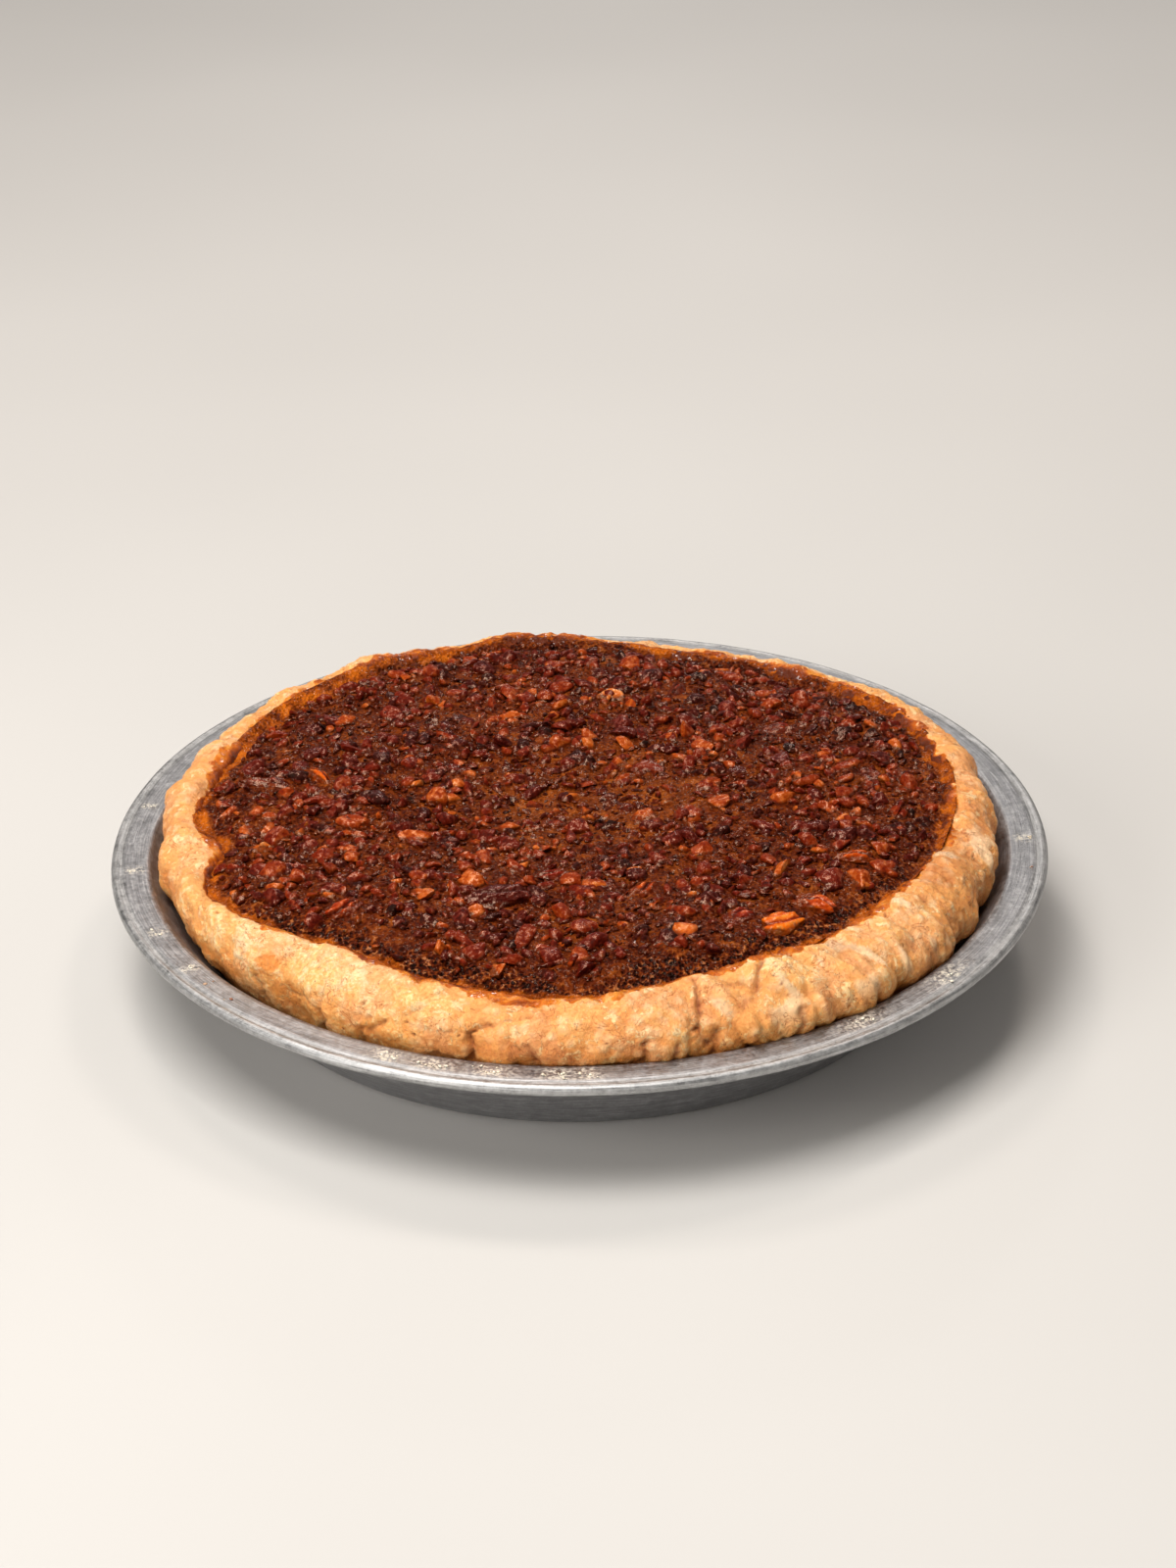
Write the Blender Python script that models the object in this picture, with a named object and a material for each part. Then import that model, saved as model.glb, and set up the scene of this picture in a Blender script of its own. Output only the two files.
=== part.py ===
"""A nine-inch pecan pie in its aluminium tin.

Metres, +Z up. The origin is the centre of the tin's underside, and the tin stands on z = 0.
Azimuths are in degrees, anticlockwise from +X seen from above. The front of the pie is -Y, at 270.

The pieces, from the outside in:
  tin           a spun sheet tin: flat base, sloping wall, flat rim and a rolled bead
  crust         a pastry shell whose hand-folded rim stands proud of the tin in uneven lobes
  filling       the set, nut-studded filling, up to the wavy line where it meets the rim
  pecan_NN      the pecan pieces as large as berries, each in a pocket of the filling
"""

import math

import bmesh
import bpy
import numpy as np
from mathutils import Quaternion

# ---- Driving dimensions -------------------------------------------------------------------------

MM = 0.001

TIN_HEIGHT = 31 * MM  # from the table to the top of the flat rim
TIN_BASE_RADIUS = 92 * MM
TIN_WELL_RADIUS = 115 * MM  # inner edge of the flat rim: a nine-inch well
TIN_RIM_RADIUS = 124 * MM  # outside of the rolled bead
TIN_GAUGE = 0.9 * MM
TIN_BEAD_RADIUS = 1.45 * MM
TIN_BASE_CORNER = 4 * MM
TIN_RIM_CORNER = 2 * MM

FIT_GAP = 0.4 * MM  # between pieces that touch in the real pie

CRUST_FLOOR = 3.5 * MM  # pastry thickness on the base
CRUST_WALL = 5.0 * MM  # pastry thickness on the sloping wall
CRUST_RADIUS = 108.8 * MM  # outside of the standing rim, in a crease between two folds
LOBE_SWELL = 2.0 * MM  # how far a fold of the rim bulges between its creases
CREST_SETBACK = 4.6 * MM  # from the filling's edge out to the top of the rim
CREST_RISE = 1.2 * MM  # from the filling's edge up to the top of the rim

FILL_EDGE_RADIUS = 97.8 * MM  # where the filling meets the rim
FILL_EDGE_HEIGHT = 41.2 * MM
FILL_BANK_WIDTH = 11 * MM  # the filling climbs from its edge over this width
FILL_BANK_RISE = 2.4 * MM
FILL_SAG_RADIUS = 52 * MM  # the middle sinks as the pie cools
FILL_SAG = 2.2 * MM
FILL_RINGS = (0.79, 0.63, 0.47, 0.3, 0.13)  # shares of the edge's radius, where it is plain

TIN_STATIONS = 72
PIE_STATIONS = 120  # an even number, halved where the shapes are plain

# The creases between the folds of the rim: (azimuth, depth as a share of the folds' swell).
RIM_CREASES = (
    (7, 0.8), (20, 1.0), (31, 0.7), (44, 0.9), (57, 0.6), (71, 0.9), (84, 0.7), (96, 1.0),
    (107, 1.0), (119, 0.7), (133, 1.0), (146, 0.8), (158, 1.0), (170, 0.9), (184, 0.5),
    (198, 0.8), (214, 0.5), (229, 1.2), (246, 0.6), (257, 1.0), (272, 0.7), (285.5, 1.4),
    (294.5, 0.9), (304.5, 1.5), (312, 0.9), (320, 1.2), (329, 0.8), (339, 1.1), (353, 0.9),
)  # fmt: skip

# Swells of the rim and of the filling's edge, each (azimuth, half-width, mm). The rim swells out
# where it lies against the tin, rises or slumps in height, and leans in over the filling.
OUTSIDE_WAVES = ((264, 17, 4.2), (302, 23, 5.0), (158, 14, -0.7), (10, 20, -0.8), (228, 8, -0.8))
HEIGHT_WAVES = (
    (28, 10, 0.6),
    (44, 14, -1.2),
    (72, 27, -5.0),
    (111, 6.5, -2.6),
    (170, 12, 0.4),
    (205, 9, -2.2),
    (240, 14, 1.0),
    (268, 9, -0.4),
    (297, 13, 1.4),
    (325, 15, 0.8),
)  # fmt: skip
EDGE_WAVES = (
    (72, 24, -1.6),
    (98, 8, 1.4),
    (135, 7, -1.0),
    (182, 8, 3.0),
    (193.5, 3, -4.0),
    (204, 6, 6.5),
    (216, 8, 4.4),
    (234, 7, -2.6),
    (256, 11, 1.2),
    (270, 6, 2.6),
    (295, 13, -2.0),
    (325, 18, -3.0),
    (350, 9, -1.0),
)  # fmt: skip

# The large pecan pieces: (azimuth, distance from the centre, length, width, height, heading), in
# degrees and mm. The heading is the azimuth that the length points along.
PECANS = (
    (250, 60.5, 17.0, 9.5, 6.0, 12),
    (305, 87.5, 12.5, 8.5, 6.0, 20),
    (313, 84.5, 12.0, 8.0, 5.5, 150),
    (299, 79.5, 10.0, 7.0, 5.0, 35),
    (331, 80.0, 11.5, 7.0, 5.5, 10),
    (176, 82.0, 15.0, 6.5, 5.0, 172),
    (172, 69.0, 12.5, 5.5, 5.0, 130),
    (287, 55.0, 10.5, 7.0, 5.0, 60),
    (226, 84.0, 10.5, 6.5, 5.0, 45),
    (262, 44.0, 11.0, 6.5, 4.5, 0),
    (66, 68.0, 12.5, 7.5, 5.5, 75),
    (122, 75.0, 12.0, 7.0, 5.5, 110),
    (33, 66.0, 12.0, 7.5, 5.5, 160),
    (6, 78.0, 11.5, 7.0, 5.5, 95),
)
PECAN_SUNK = 0.55  # the share of its height that a piece lies below the filling's surface
PECAN_RINGS = 4
PECAN_SIDES = 8

TIN_COLOUR = (0.62, 0.61, 0.60, 1.0)
CRUST_COLOUR = (0.72, 0.42, 0.17, 1.0)
FILLING_COLOUR = (0.13, 0.035, 0.012, 1.0)
PECAN_COLOUR = (0.27, 0.075, 0.022, 1.0)


# ---- Scene and mesh helpers ---------------------------------------------------------------------


def clear_scene():
    for obj in list(bpy.data.objects):
        bpy.data.objects.remove(obj)


def material(name, colour, roughness, metallic=0.0):
    made = bpy.data.materials.new(name)
    made.use_nodes = True
    shader = made.node_tree.nodes["Principled BSDF"]
    shader.inputs["Base Color"].default_value = colour
    shader.inputs["Roughness"].default_value = roughness
    shader.inputs["Metallic"].default_value = metallic
    return made


def mesh_object(name, mesh_tools, surface, smooth_angle):
    """Makes an object of a bmesh, with its faces turned outward."""
    bmesh.ops.recalc_face_normals(mesh_tools, faces=mesh_tools.faces)
    mesh = bpy.data.meshes.new(name)
    mesh_tools.to_mesh(mesh)
    mesh_tools.free()
    mesh.materials.append(surface)
    mesh.shade_smooth()
    mesh.set_sharp_from_angle(angle=math.radians(smooth_angle))
    made = bpy.data.objects.new(name, mesh)
    bpy.context.scene.collection.objects.link(made)
    return made


def band(skin, one, other, lean):
    """Triangles between two rings, of which one may have half the points of the other."""
    fine, coarse = (one, other) if len(one) >= len(other) else (other, one)
    count = len(fine)
    if len(coarse) == count:
        for i in range(count):
            j = (i + lean) % count
            skin.faces.new((one[i], one[j], other[j]))
            skin.faces.new((one[i], other[j], other[i]))
        return
    for i in range(len(coarse)):
        j = (i + 1) % len(coarse)
        first, middle, last = fine[2 * i], fine[2 * i + 1], fine[(2 * i + 2) % count]
        skin.faces.new((first, middle, coarse[i]))
        skin.faces.new((middle, last, coarse[j]))
        skin.faces.new((middle, coarse[j], coarse[i]))


def stacked_rings(rings, low_pole, high_pole, lean=1):
    """A closed skin over rings of points, each end drawn in to one point.

    Its triangles lean with the rings' direction, or against it for a lean of -1, so that two
    skins which follow one another on opposite sides of a gap can be given matching facets.
    """
    skin = bmesh.new()
    loops = [[skin.verts.new(point) for point in ring] for ring in rings]
    for lower, upper in zip(loops, loops[1:]):
        band(skin, lower, upper, lean)
    for loop, pole in ((loops[0], low_pole), (loops[-1], high_pole)):
        tip = skin.verts.new(pole)
        for i in range(len(loop)):
            skin.faces.new((tip, loop[i], loop[(i + 1) % len(loop)]))
    return skin


def arc(centre, radius, start, end, steps):
    """Points (r, z) on an arc of a profile, with angles in degrees from +r towards +z."""
    angles = np.radians(np.linspace(start, end, steps + 1))
    return [(centre[0] + radius * math.cos(a), centre[1] + radius * math.sin(a)) for a in angles]


def corner(before, at, after, radius, steps):
    """The rounded corner of a profile that turns at a point."""
    before, at, after = (np.array(p, float) for p in (before, at, after))
    towards = (before - at) / np.linalg.norm(before - at)
    away = (after - at) / np.linalg.norm(after - at)
    half = math.acos(float(np.clip(towards @ away, -1, 1))) / 2
    reach = radius / math.tan(half)
    centre = at + (towards + away) / np.linalg.norm(towards + away) * radius / math.sin(half)
    first = at + towards * reach - centre
    last = at + away * reach - centre
    start = math.atan2(first[1], first[0])
    turn = (math.atan2(last[1], last[0]) - start + math.pi) % (2 * math.pi) - math.pi
    return arc(centre, radius, math.degrees(start), math.degrees(start + turn), steps)


# ---- The tin ------------------------------------------------------------------------------------


def tin_wall_radius(z, inward=0.0):
    """Radius of the inside of the tin's sloping wall at a height, moved inward square to it."""
    slope = (TIN_WELL_RADIUS - TIN_BASE_RADIUS) / TIN_HEIGHT
    square = math.sqrt(1 + slope * slope)
    return TIN_BASE_RADIUS + slope * z - (TIN_GAUGE + inward) * square


def tin_profile():
    """The sheet's section (r, z), from the middle of the underside round to the inside."""
    inner_rim = tin_wall_radius(TIN_HEIGHT)
    outer_rim = inner_rim + TIN_GAUGE * 1.25
    underside = TIN_HEIGHT - TIN_GAUGE
    bead = (TIN_RIM_RADIUS - TIN_BEAD_RADIUS, TIN_HEIGHT - TIN_BEAD_RADIUS)
    outside = [
        *corner((0, 0), (TIN_BASE_RADIUS, 0), (outer_rim, underside), TIN_BASE_CORNER, 2),
        *corner((TIN_BASE_RADIUS, 0), (outer_rim, underside), (bead[0], underside), TIN_RIM_CORNER, 1),
    ]
    rolled = arc(bead, TIN_BEAD_RADIUS, -200, 90, 7)
    base_inside = tin_wall_radius(TIN_GAUGE)
    inside = [
        *corner(bead, (inner_rim, TIN_HEIGHT), (base_inside, TIN_GAUGE), TIN_RIM_CORNER, 2),
        *corner((inner_rim, TIN_HEIGHT), (base_inside, TIN_GAUGE), (0, TIN_GAUGE), TIN_BASE_CORNER, 2),
    ]
    return [*outside, *rolled, *inside]


def make_tin(surface):
    azimuths = np.arange(TIN_STATIONS) * 2 * math.pi / TIN_STATIONS
    rings = [
        [(r * math.cos(a), r * math.sin(a), z) for a in azimuths] for r, z in tin_profile()
    ]
    skin = stacked_rings(rings, (0, 0, 0), (0, 0, TIN_GAUGE))
    return mesh_object("tin", skin, surface, 40)


# ---- The rim of the pie, as functions of azimuth ------------------------------------------------


def apart(azimuth, centre):
    """The signed angle between two azimuths, in degrees."""
    return (azimuth - centre + 180) % 360 - 180


def waves(azimuth, features):
    """The sum of smooth swells (azimuth, half-width, height in mm), in metres."""
    total = 0.0
    for centre, half_width, height in features:
        total += height * MM * math.exp(-((apart(azimuth, centre) / half_width) ** 2))
    return total


def lobe(azimuth):
    """0 in a full crease of the rim and 1 at the middle of the fold between two creases."""
    last_azimuth, last_depth = RIM_CREASES[-1]
    first_azimuth, first_depth = RIM_CREASES[0]
    before = (last_azimuth - 360, last_depth)
    for after in (*RIM_CREASES, (first_azimuth + 360, first_depth)):
        if after[0] > azimuth:
            break
        before = after
    share = (azimuth - before[0]) / (after[0] - before[0])
    depth = before[1] * (1 - share) + after[1] * share
    return 1 - depth * (1 - math.sin(math.pi * share) ** 0.8)


def fill_edge(azimuth):
    """(radius, height) of the wavy line where the filling meets the rim."""
    radius = FILL_EDGE_RADIUS + waves(azimuth, EDGE_WAVES) - 0.3 * LOBE_SWELL * lobe(azimuth)
    return radius, FILL_EDGE_HEIGHT + waves(azimuth, HEIGHT_WAVES)


def rim_outside(azimuth):
    """The greatest radius of the standing rim, with its folds bulging between the creases."""
    return CRUST_RADIUS + waves(azimuth, OUTSIDE_WAVES) + LOBE_SWELL * lobe(azimuth)


def crust_section(azimuth):
    """The pastry's section (r, z), from the outside of its floor over the rim to the inside."""
    edge_r, edge_z = fill_edge(azimuth)
    outside = rim_outside(azimuth)
    crest_r = edge_r + CREST_SETBACK
    crest_z = edge_z + CREST_RISE + 0.45 * LOBE_SWELL * lobe(azimuth)
    foot = TIN_GAUGE + FIT_GAP
    heel = foot + 0.6 * TIN_BASE_CORNER
    floor = foot + CRUST_FLOOR
    leaves_tin = 0.55 * TIN_HEIGHT  # above this the baked pastry stands clear of the tin
    hip = TIN_HEIGHT - 3 * MM
    widest = TIN_HEIGHT + 1.8 * MM
    return [
        (tin_wall_radius(foot, FIT_GAP) - TIN_BASE_CORNER, foot),
        (tin_wall_radius(heel, FIT_GAP), heel),
        (tin_wall_radius(leaves_tin, FIT_GAP), leaves_tin),
        (min(outside - 1.6 * MM, tin_wall_radius(hip, 1.5 * FIT_GAP)), hip),
        (outside, widest),
        (outside - 0.5 * MM, 0.55 * widest + 0.45 * crest_z),
        (0.66 * outside + 0.34 * crest_r, crest_z - 2.2 * MM),
        (0.25 * outside + 0.75 * crest_r, crest_z - 0.3 * MM),
        (crest_r - 1.3 * MM, crest_z - 0.2 * MM),
        (edge_r, edge_z),
        (edge_r - 0.8 * MM, edge_z - 3.5 * MM),
        (tin_wall_radius(leaves_tin, FIT_GAP + CRUST_WALL), leaves_tin),
        (tin_wall_radius(floor, FIT_GAP + CRUST_WALL), floor),
    ]


def around(section, plain_levels=()):
    """Rings of points from a section that is a function of azimuth, the plain ones halved."""
    azimuths = np.arange(PIE_STATIONS) * 360 / PIE_STATIONS
    sections = [section(a) for a in azimuths]
    rings = []
    for level in range(len(sections[0])):
        ring = []
        for azimuth, points in zip(azimuths, sections):
            r, z = points[level]
            turn = math.radians(azimuth)
            ring.append((r * math.cos(turn), r * math.sin(turn), z))
        rings.append(ring[::2] if level in plain_levels else ring)
    return rings


def make_crust(surface):
    foot = TIN_GAUGE + FIT_GAP
    rings = around(crust_section, plain_levels=(0, 1, 2))
    skin = stacked_rings(rings, (0, 0, foot), (0, 0, foot + CRUST_FLOOR))
    return mesh_object("crust", skin, surface, 60)


# ---- The filling --------------------------------------------------------------------------------


def smooth_step(share):
    share = min(max(share, 0.0), 1.0)
    return share * share * (3 - 2 * share)


def fill_top(azimuth, radius):
    """Height of the filling's surface: a bank inside the rim, then a shallow sag and swells."""
    edge_r, edge_z = fill_edge(azimuth)
    inward = edge_r - radius
    level = FILL_EDGE_HEIGHT + (edge_z - FILL_EDGE_HEIGHT) * math.exp(-inward / (2 * FILL_BANK_WIDTH))
    bank = FILL_BANK_RISE * smooth_step(inward / FILL_BANK_WIDTH)
    sag = FILL_SAG * smooth_step(1 - radius / FILL_SAG_RADIUS)
    x = radius * math.cos(math.radians(azimuth)) / (17 * MM)
    y = radius * math.sin(math.radians(azimuth)) / (17 * MM)
    swell = 0.5 * MM * (math.sin(x + 1.3 * math.sin(0.7 * y)) + math.sin(1.2 * y + 0.9 * math.sin(x)))
    return level + bank - sag + swell * smooth_step(inward / FILL_BANK_WIDTH)


def filling_section(azimuth):
    """The filling's section, a fit gap inside the pastry, from its underside to its middle."""
    edge_r, edge_z = fill_edge(azimuth)
    crust = crust_section(azimuth)
    (floor_r, floor_z), (wall_r, wall_z), (neck_r, neck_z) = crust[-1], crust[-2], crust[-3]
    top = [(edge_r - 0.45 * MM, edge_z)]
    for inward in (3 * MM, 6 * MM, 11 * MM):
        top.append((edge_r - inward, fill_top(azimuth, edge_r - inward)))
    for share in FILL_RINGS:
        radius = share * FILL_EDGE_RADIUS
        top.append((radius, fill_top(azimuth, radius)))
    return [
        (floor_r - FIT_GAP, floor_z + FIT_GAP),
        (wall_r - 1.4 * FIT_GAP, wall_z),
        (neck_r - 1.3 * FIT_GAP, neck_z),
        *top,
    ]


def make_filling(surface):
    floor = TIN_GAUGE + 2 * FIT_GAP + CRUST_FLOOR
    tip = (0, 0, fill_top(0, 0))
    rings = around(filling_section, plain_levels=range(7, 7 + len(FILL_RINGS)))
    skin = stacked_rings(rings, (0, 0, floor), tip, lean=-1)
    return mesh_object("filling", skin, surface, 40)


# ---- The large pecan pieces ---------------------------------------------------------------------


def pecan_skin(length, width, height, grow=0.0):
    """A piece of pecan along X: a blunt oval with the kernel's furrow along its top."""
    rings = []
    for level in range(1, PECAN_RINGS + 1):
        lengthwise = math.pi * level / (PECAN_RINGS + 1)
        x = -math.cos(lengthwise) * (length / 2 + grow)
        girth = math.sin(lengthwise) ** 0.55
        ring = []
        for side in range(PECAN_SIDES):
            turn = math.pi / 2 + 2 * math.pi * side / PECAN_SIDES
            furrow = 1.0 if side or grow else 0.72
            y = math.cos(turn) * (width / 2 * girth + grow)
            z = math.sin(turn) * (height / 2 * girth * furrow + grow)
            ring.append((x, y, z))
        rings.append(ring)
    tip = length / 2 + grow
    return stacked_rings(rings, (-tip, 0, 0), (tip, 0, 0))


def place_pecan(obj, azimuth, distance, height, heading):
    """Sets a piece into the filling's surface, level with the slope there."""
    turn = math.radians(azimuth)
    surface = fill_top(azimuth, distance)
    slope = math.atan2(fill_top(azimuth, distance - 3 * MM) - surface, 3 * MM)
    lift = (0.5 - PECAN_SUNK) * height
    obj.location = (distance * math.cos(turn), distance * math.sin(turn), surface + lift)
    obj.rotation_mode = "QUATERNION"
    tilted = Quaternion((-math.sin(turn), math.cos(turn), 0), slope)
    obj.rotation_quaternion = tilted @ Quaternion((0, 0, 1), math.radians(heading))


def make_pecans(filling, surface):
    """Each piece, and the pocket that it lies in, cut from the filling."""
    for number, (azimuth, distance, length, width, height, heading) in enumerate(PECANS, 1):
        name = f"pecan_{number:02d}"
        size = (length * MM, width * MM, height * MM)
        piece = mesh_object(name, pecan_skin(*size), surface, 50)
        pocket = mesh_object(f"{name}_pocket", pecan_skin(*size, grow=FIT_GAP), surface, 50)
        for obj in (piece, pocket):
            place_pecan(obj, azimuth, distance * MM, height * MM, heading)
        pocket.hide_render = True
        pocket.display_type = "WIRE"
        cut = filling.modifiers.new(f"{name}_pocket", "BOOLEAN")
        cut.operation = "DIFFERENCE"
        cut.object = pocket


# ---- The pie ------------------------------------------------------------------------------------


def make_pie():
    clear_scene()
    make_tin(material("tin", TIN_COLOUR, 0.38, metallic=1.0))
    make_crust(material("crust", CRUST_COLOUR, 0.7))
    filling = make_filling(material("filling", FILLING_COLOUR, 0.35))
    make_pecans(filling, material("pecan", PECAN_COLOUR, 0.4))


make_pie()
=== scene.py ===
"""The looks of a nine-inch pecan pie in its tin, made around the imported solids.

Metres, +Z up, the pie's front at -Y. Azimuths are in degrees, anticlockwise from +X. Each visible
form is a mesh that replaces its plain solid: the crust and the filling are sampled from their
solids and given relief, the nuts are scattered over the filling, and the tin is turned afresh.
"""

import math

import bmesh
import bpy
import numpy as np
from mathutils import Matrix, Vector
from mathutils.bvhtree import BVHTree


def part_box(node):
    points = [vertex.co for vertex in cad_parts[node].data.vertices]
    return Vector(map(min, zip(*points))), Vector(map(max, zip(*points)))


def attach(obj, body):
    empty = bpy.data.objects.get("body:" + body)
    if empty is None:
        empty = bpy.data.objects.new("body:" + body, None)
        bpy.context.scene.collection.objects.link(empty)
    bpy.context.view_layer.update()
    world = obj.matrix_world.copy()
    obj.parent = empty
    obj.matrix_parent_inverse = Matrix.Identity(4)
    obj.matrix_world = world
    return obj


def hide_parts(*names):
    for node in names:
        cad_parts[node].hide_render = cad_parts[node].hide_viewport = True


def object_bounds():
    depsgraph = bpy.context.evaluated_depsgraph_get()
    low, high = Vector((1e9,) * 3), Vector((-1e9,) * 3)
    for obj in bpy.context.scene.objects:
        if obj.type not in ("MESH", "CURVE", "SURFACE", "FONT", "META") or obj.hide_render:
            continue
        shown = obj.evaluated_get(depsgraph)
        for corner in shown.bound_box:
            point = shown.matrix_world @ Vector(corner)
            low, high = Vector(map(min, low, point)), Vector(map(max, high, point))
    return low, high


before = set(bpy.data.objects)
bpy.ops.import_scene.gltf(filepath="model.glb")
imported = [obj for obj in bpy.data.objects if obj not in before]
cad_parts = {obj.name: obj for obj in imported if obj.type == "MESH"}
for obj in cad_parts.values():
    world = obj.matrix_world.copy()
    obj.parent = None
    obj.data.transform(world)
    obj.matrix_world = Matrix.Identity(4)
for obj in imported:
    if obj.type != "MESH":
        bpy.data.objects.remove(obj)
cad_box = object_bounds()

MM = 0.001

RIM_STATIONS = 1120  # points round the crust
RIM_ARC_ROWS = 55  # rows over the top of the rim
FILLING_STATIONS = 1280  # points round the filling's edge, halved towards the middle
HALVED_AT = (0.82, 0.42, 0.16)  # shares of the filling's radius where they are halved
EDGE_STEP = 0.44 * MM  # between rings in the band of foam
INNER_STEP = 0.85 * MM  # between rings nearer the middle
OVERRUN = 2.6 * MM  # the filling's usual lap over the crust's inner slope
FOAM_WIDTH = 14 * MM
TIN_STATIONS = 480
PAN_GAUGE = 0.9 * MM
BEAD_RADIUS = 1.45 * MM
TIN_RIM_WIDTH = 9 * MM
BEYOND = 0.14  # outside the crust, where rays towards it start
WITHIN = 0.05  # inside the crust's rim, where rays out to it start
ABOVE = 0.1  # over the pie, where rays down to it start


# ---- Repeatable noise ----


def lattice(cell, seed):
    """A repeatable number from 0 to 1 for each whole-numbered point of an (n, 3) array."""
    mixed = cell[..., 0] * 374761393 + cell[..., 1] * 668265263 + cell[..., 2] * 1440662683
    mixed = (mixed + seed * 974634777) & 0xFFFFFFFF
    mixed = ((mixed ^ (mixed >> 13)) * 1274126177) & 0xFFFFFFFF
    mixed = ((mixed ^ (mixed >> 16)) * 461845907) & 0xFFFFFFFF
    return ((mixed >> 8) & 0xFFFFFF) / 0xFFFFFF


def smooth(low, high, value):
    """0 below low, 1 above high, and a smooth ramp between."""
    share = np.clip((value - low) / (high - low), 0, 1)
    return share * share * (3 - 2 * share)


def blend(one, other, share):
    return one * (1 - share) + other * share


def noise(points, size, seed):
    """Smooth noise from -1 to 1 whose lumps are about as wide as size."""
    place = points / size
    cell = np.floor(place).astype(np.int64)
    share = place - cell
    share = share * share * share * (share * (share * 6 - 15) + 10)
    total = np.zeros(points.shape[:-1])
    for corner in np.ndindex(2, 2, 2):
        weight = np.ones(points.shape[:-1])
        for axis, side in enumerate(corner):
            weight *= share[..., axis] if side else 1 - share[..., axis]
        total += weight * lattice(cell + np.array(corner), seed)
    return total * 2 - 1


OCTAVE_SHIFT = 17.3  # sizes, so that the octaves' lattices don't line up


def rough_noise(points, size, seed, octaves=4, gain=0.5):
    """Noise with ever finer octaves on top, still from about -1 to 1."""
    total, strength, reach = 0.0, 1.0, 0.0
    for octave in range(octaves):
        shifted = points + OCTAVE_SHIFT * size * octave
        total = total + strength * noise(shifted, size / 2**octave, seed + octave)
        reach += strength
        strength *= gain
    return total / reach * 1.5


def cells(points, size, seed):
    """For cells about as wide as size: the distance to the middle of the nearest, in sizes, and a
    number from 0 to 1 that stays the same all over a cell."""
    place = points / size
    cell = np.floor(place).astype(np.int64)
    nearest = np.full(points.shape[:-1], 9.0)
    label = np.zeros(points.shape[:-1])
    for step in np.ndindex(3, 3, 3):
        other = cell + np.array(step) - 1
        middle = other + np.stack([lattice(other, seed + axis) for axis in range(3)], axis=-1)
        apart = np.linalg.norm(place - middle, axis=-1)
        label = np.where(apart < nearest, lattice(other, seed + 7), label)
        nearest = np.minimum(nearest, apart)
    return nearest, label


def domes(points, size, seed, edge):
    """Round bumps, one in each cell, from 1 at its middle to 0 at edge, and the cells' labels."""
    near, label = cells(points, size, seed)
    return np.clip(1 - (near / edge) ** 2, 0, 1), label


def pits(points, size, seed, share, edge, bottom):
    """Small steep holes in that share of the cells: 0 at edge, 1 from bottom inward."""
    near, label = cells(points, size, seed)
    return np.where(label < share, smooth(edge, bottom, near), 0)


# ---- Places and meshes ----


def azimuth_of(points):
    return np.degrees(np.arctan2(points[..., 1], points[..., 0])) % 360


def radius_of(points):
    return np.hypot(points[..., 0], points[..., 1])


def compass(azimuths):
    """Unit vectors (n, 3) for azimuths in degrees."""
    turn = np.radians(azimuths)
    return np.stack([np.cos(turn), np.sin(turn), np.zeros_like(turn)], axis=-1)


def stations(count):
    """Azimuths evenly round the pie."""
    return np.arange(count) * 360 / count


def past(azimuth, start):
    """How many degrees some azimuths lie past a start, from -180 to 180."""
    return (azimuth - start + 180) % 360 - 180


def by_azimuth(azimuth, table):
    """Values between those of a table from azimuth to value."""
    return np.interp(azimuth, list(table), list(table.values()), period=360)


def flat(x, y):
    """Places (..., 3) at height 0."""
    return np.stack([x, y, np.zeros_like(x)], axis=-1)


def under_top(heights, top):
    """Heights pressed softly down under the top."""
    soft = 1.2 * MM
    over = np.maximum(heights - (top - soft), 0)
    return np.minimum(heights, top - soft) + soft * (1 - np.exp(-over / soft))


def blur_round(values, width):
    """Smooths along the last axis, which wraps round; width is in points."""
    reach = int(3 * width) + 1
    weights = np.exp(-0.5 * (np.arange(-reach, reach + 1) / width) ** 2)
    weights /= weights.sum()
    return sum(w * np.roll(values, k - reach, axis=-1) for k, w in enumerate(weights))


def blur_rows(values, rows, passes):
    """Smooths along the first axis, over the given rows only."""
    values = values.copy()
    for _ in range(passes):
        middle = 0.25 * values[:-2] + 0.5 * values[1:-1] + 0.25 * values[2:]
        values[1:-1][rows[1:-1]] = middle[rows[1:-1]]
    return values


def normals_of(grid):
    """Unit normals of a (rows, columns, 3) grid whose columns wrap round."""
    along = np.roll(grid, -1, axis=1) - np.roll(grid, 1, axis=1)
    normal = np.cross(along, np.gradient(grid, axis=0))
    return normal / np.maximum(np.linalg.norm(normal, axis=-1, keepdims=True), 1e-12)


def points_of(node):
    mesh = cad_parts[node].data
    points = np.empty(len(mesh.vertices) * 3)
    mesh.vertices.foreach_get("co", points)
    return points.reshape(-1, 3)


def tree_of(node):
    """A search tree over a solid's faces."""
    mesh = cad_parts[node].data
    points = [v.co.copy() for v in mesh.vertices]
    return BVHTree.FromPolygons(points, [list(face.vertices) for face in mesh.polygons])


def level_hit(tree, out, start, height, way):
    """Where a level ray meets a solid: it starts that far out, and goes out (1) or in (-1)."""
    return tree.ray_cast(out * start + Vector((0, 0, height)), out * way)[0]


def heights_of(node, azimuths, radii):
    """Heights of a solid's top at some radii (rows, stations)."""
    tree = tree_of(node)
    heights = np.empty(radii.shape)
    for station, ray in enumerate(compass(azimuths)):
        for row, radius in enumerate(radii[:, station]):
            start = Vector(ray) * float(radius) + Vector((0, 0, ABOVE))
            heights[row, station] = tree.ray_cast(start, Vector((0, 0, -1)))[0].z
    return heights


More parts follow.
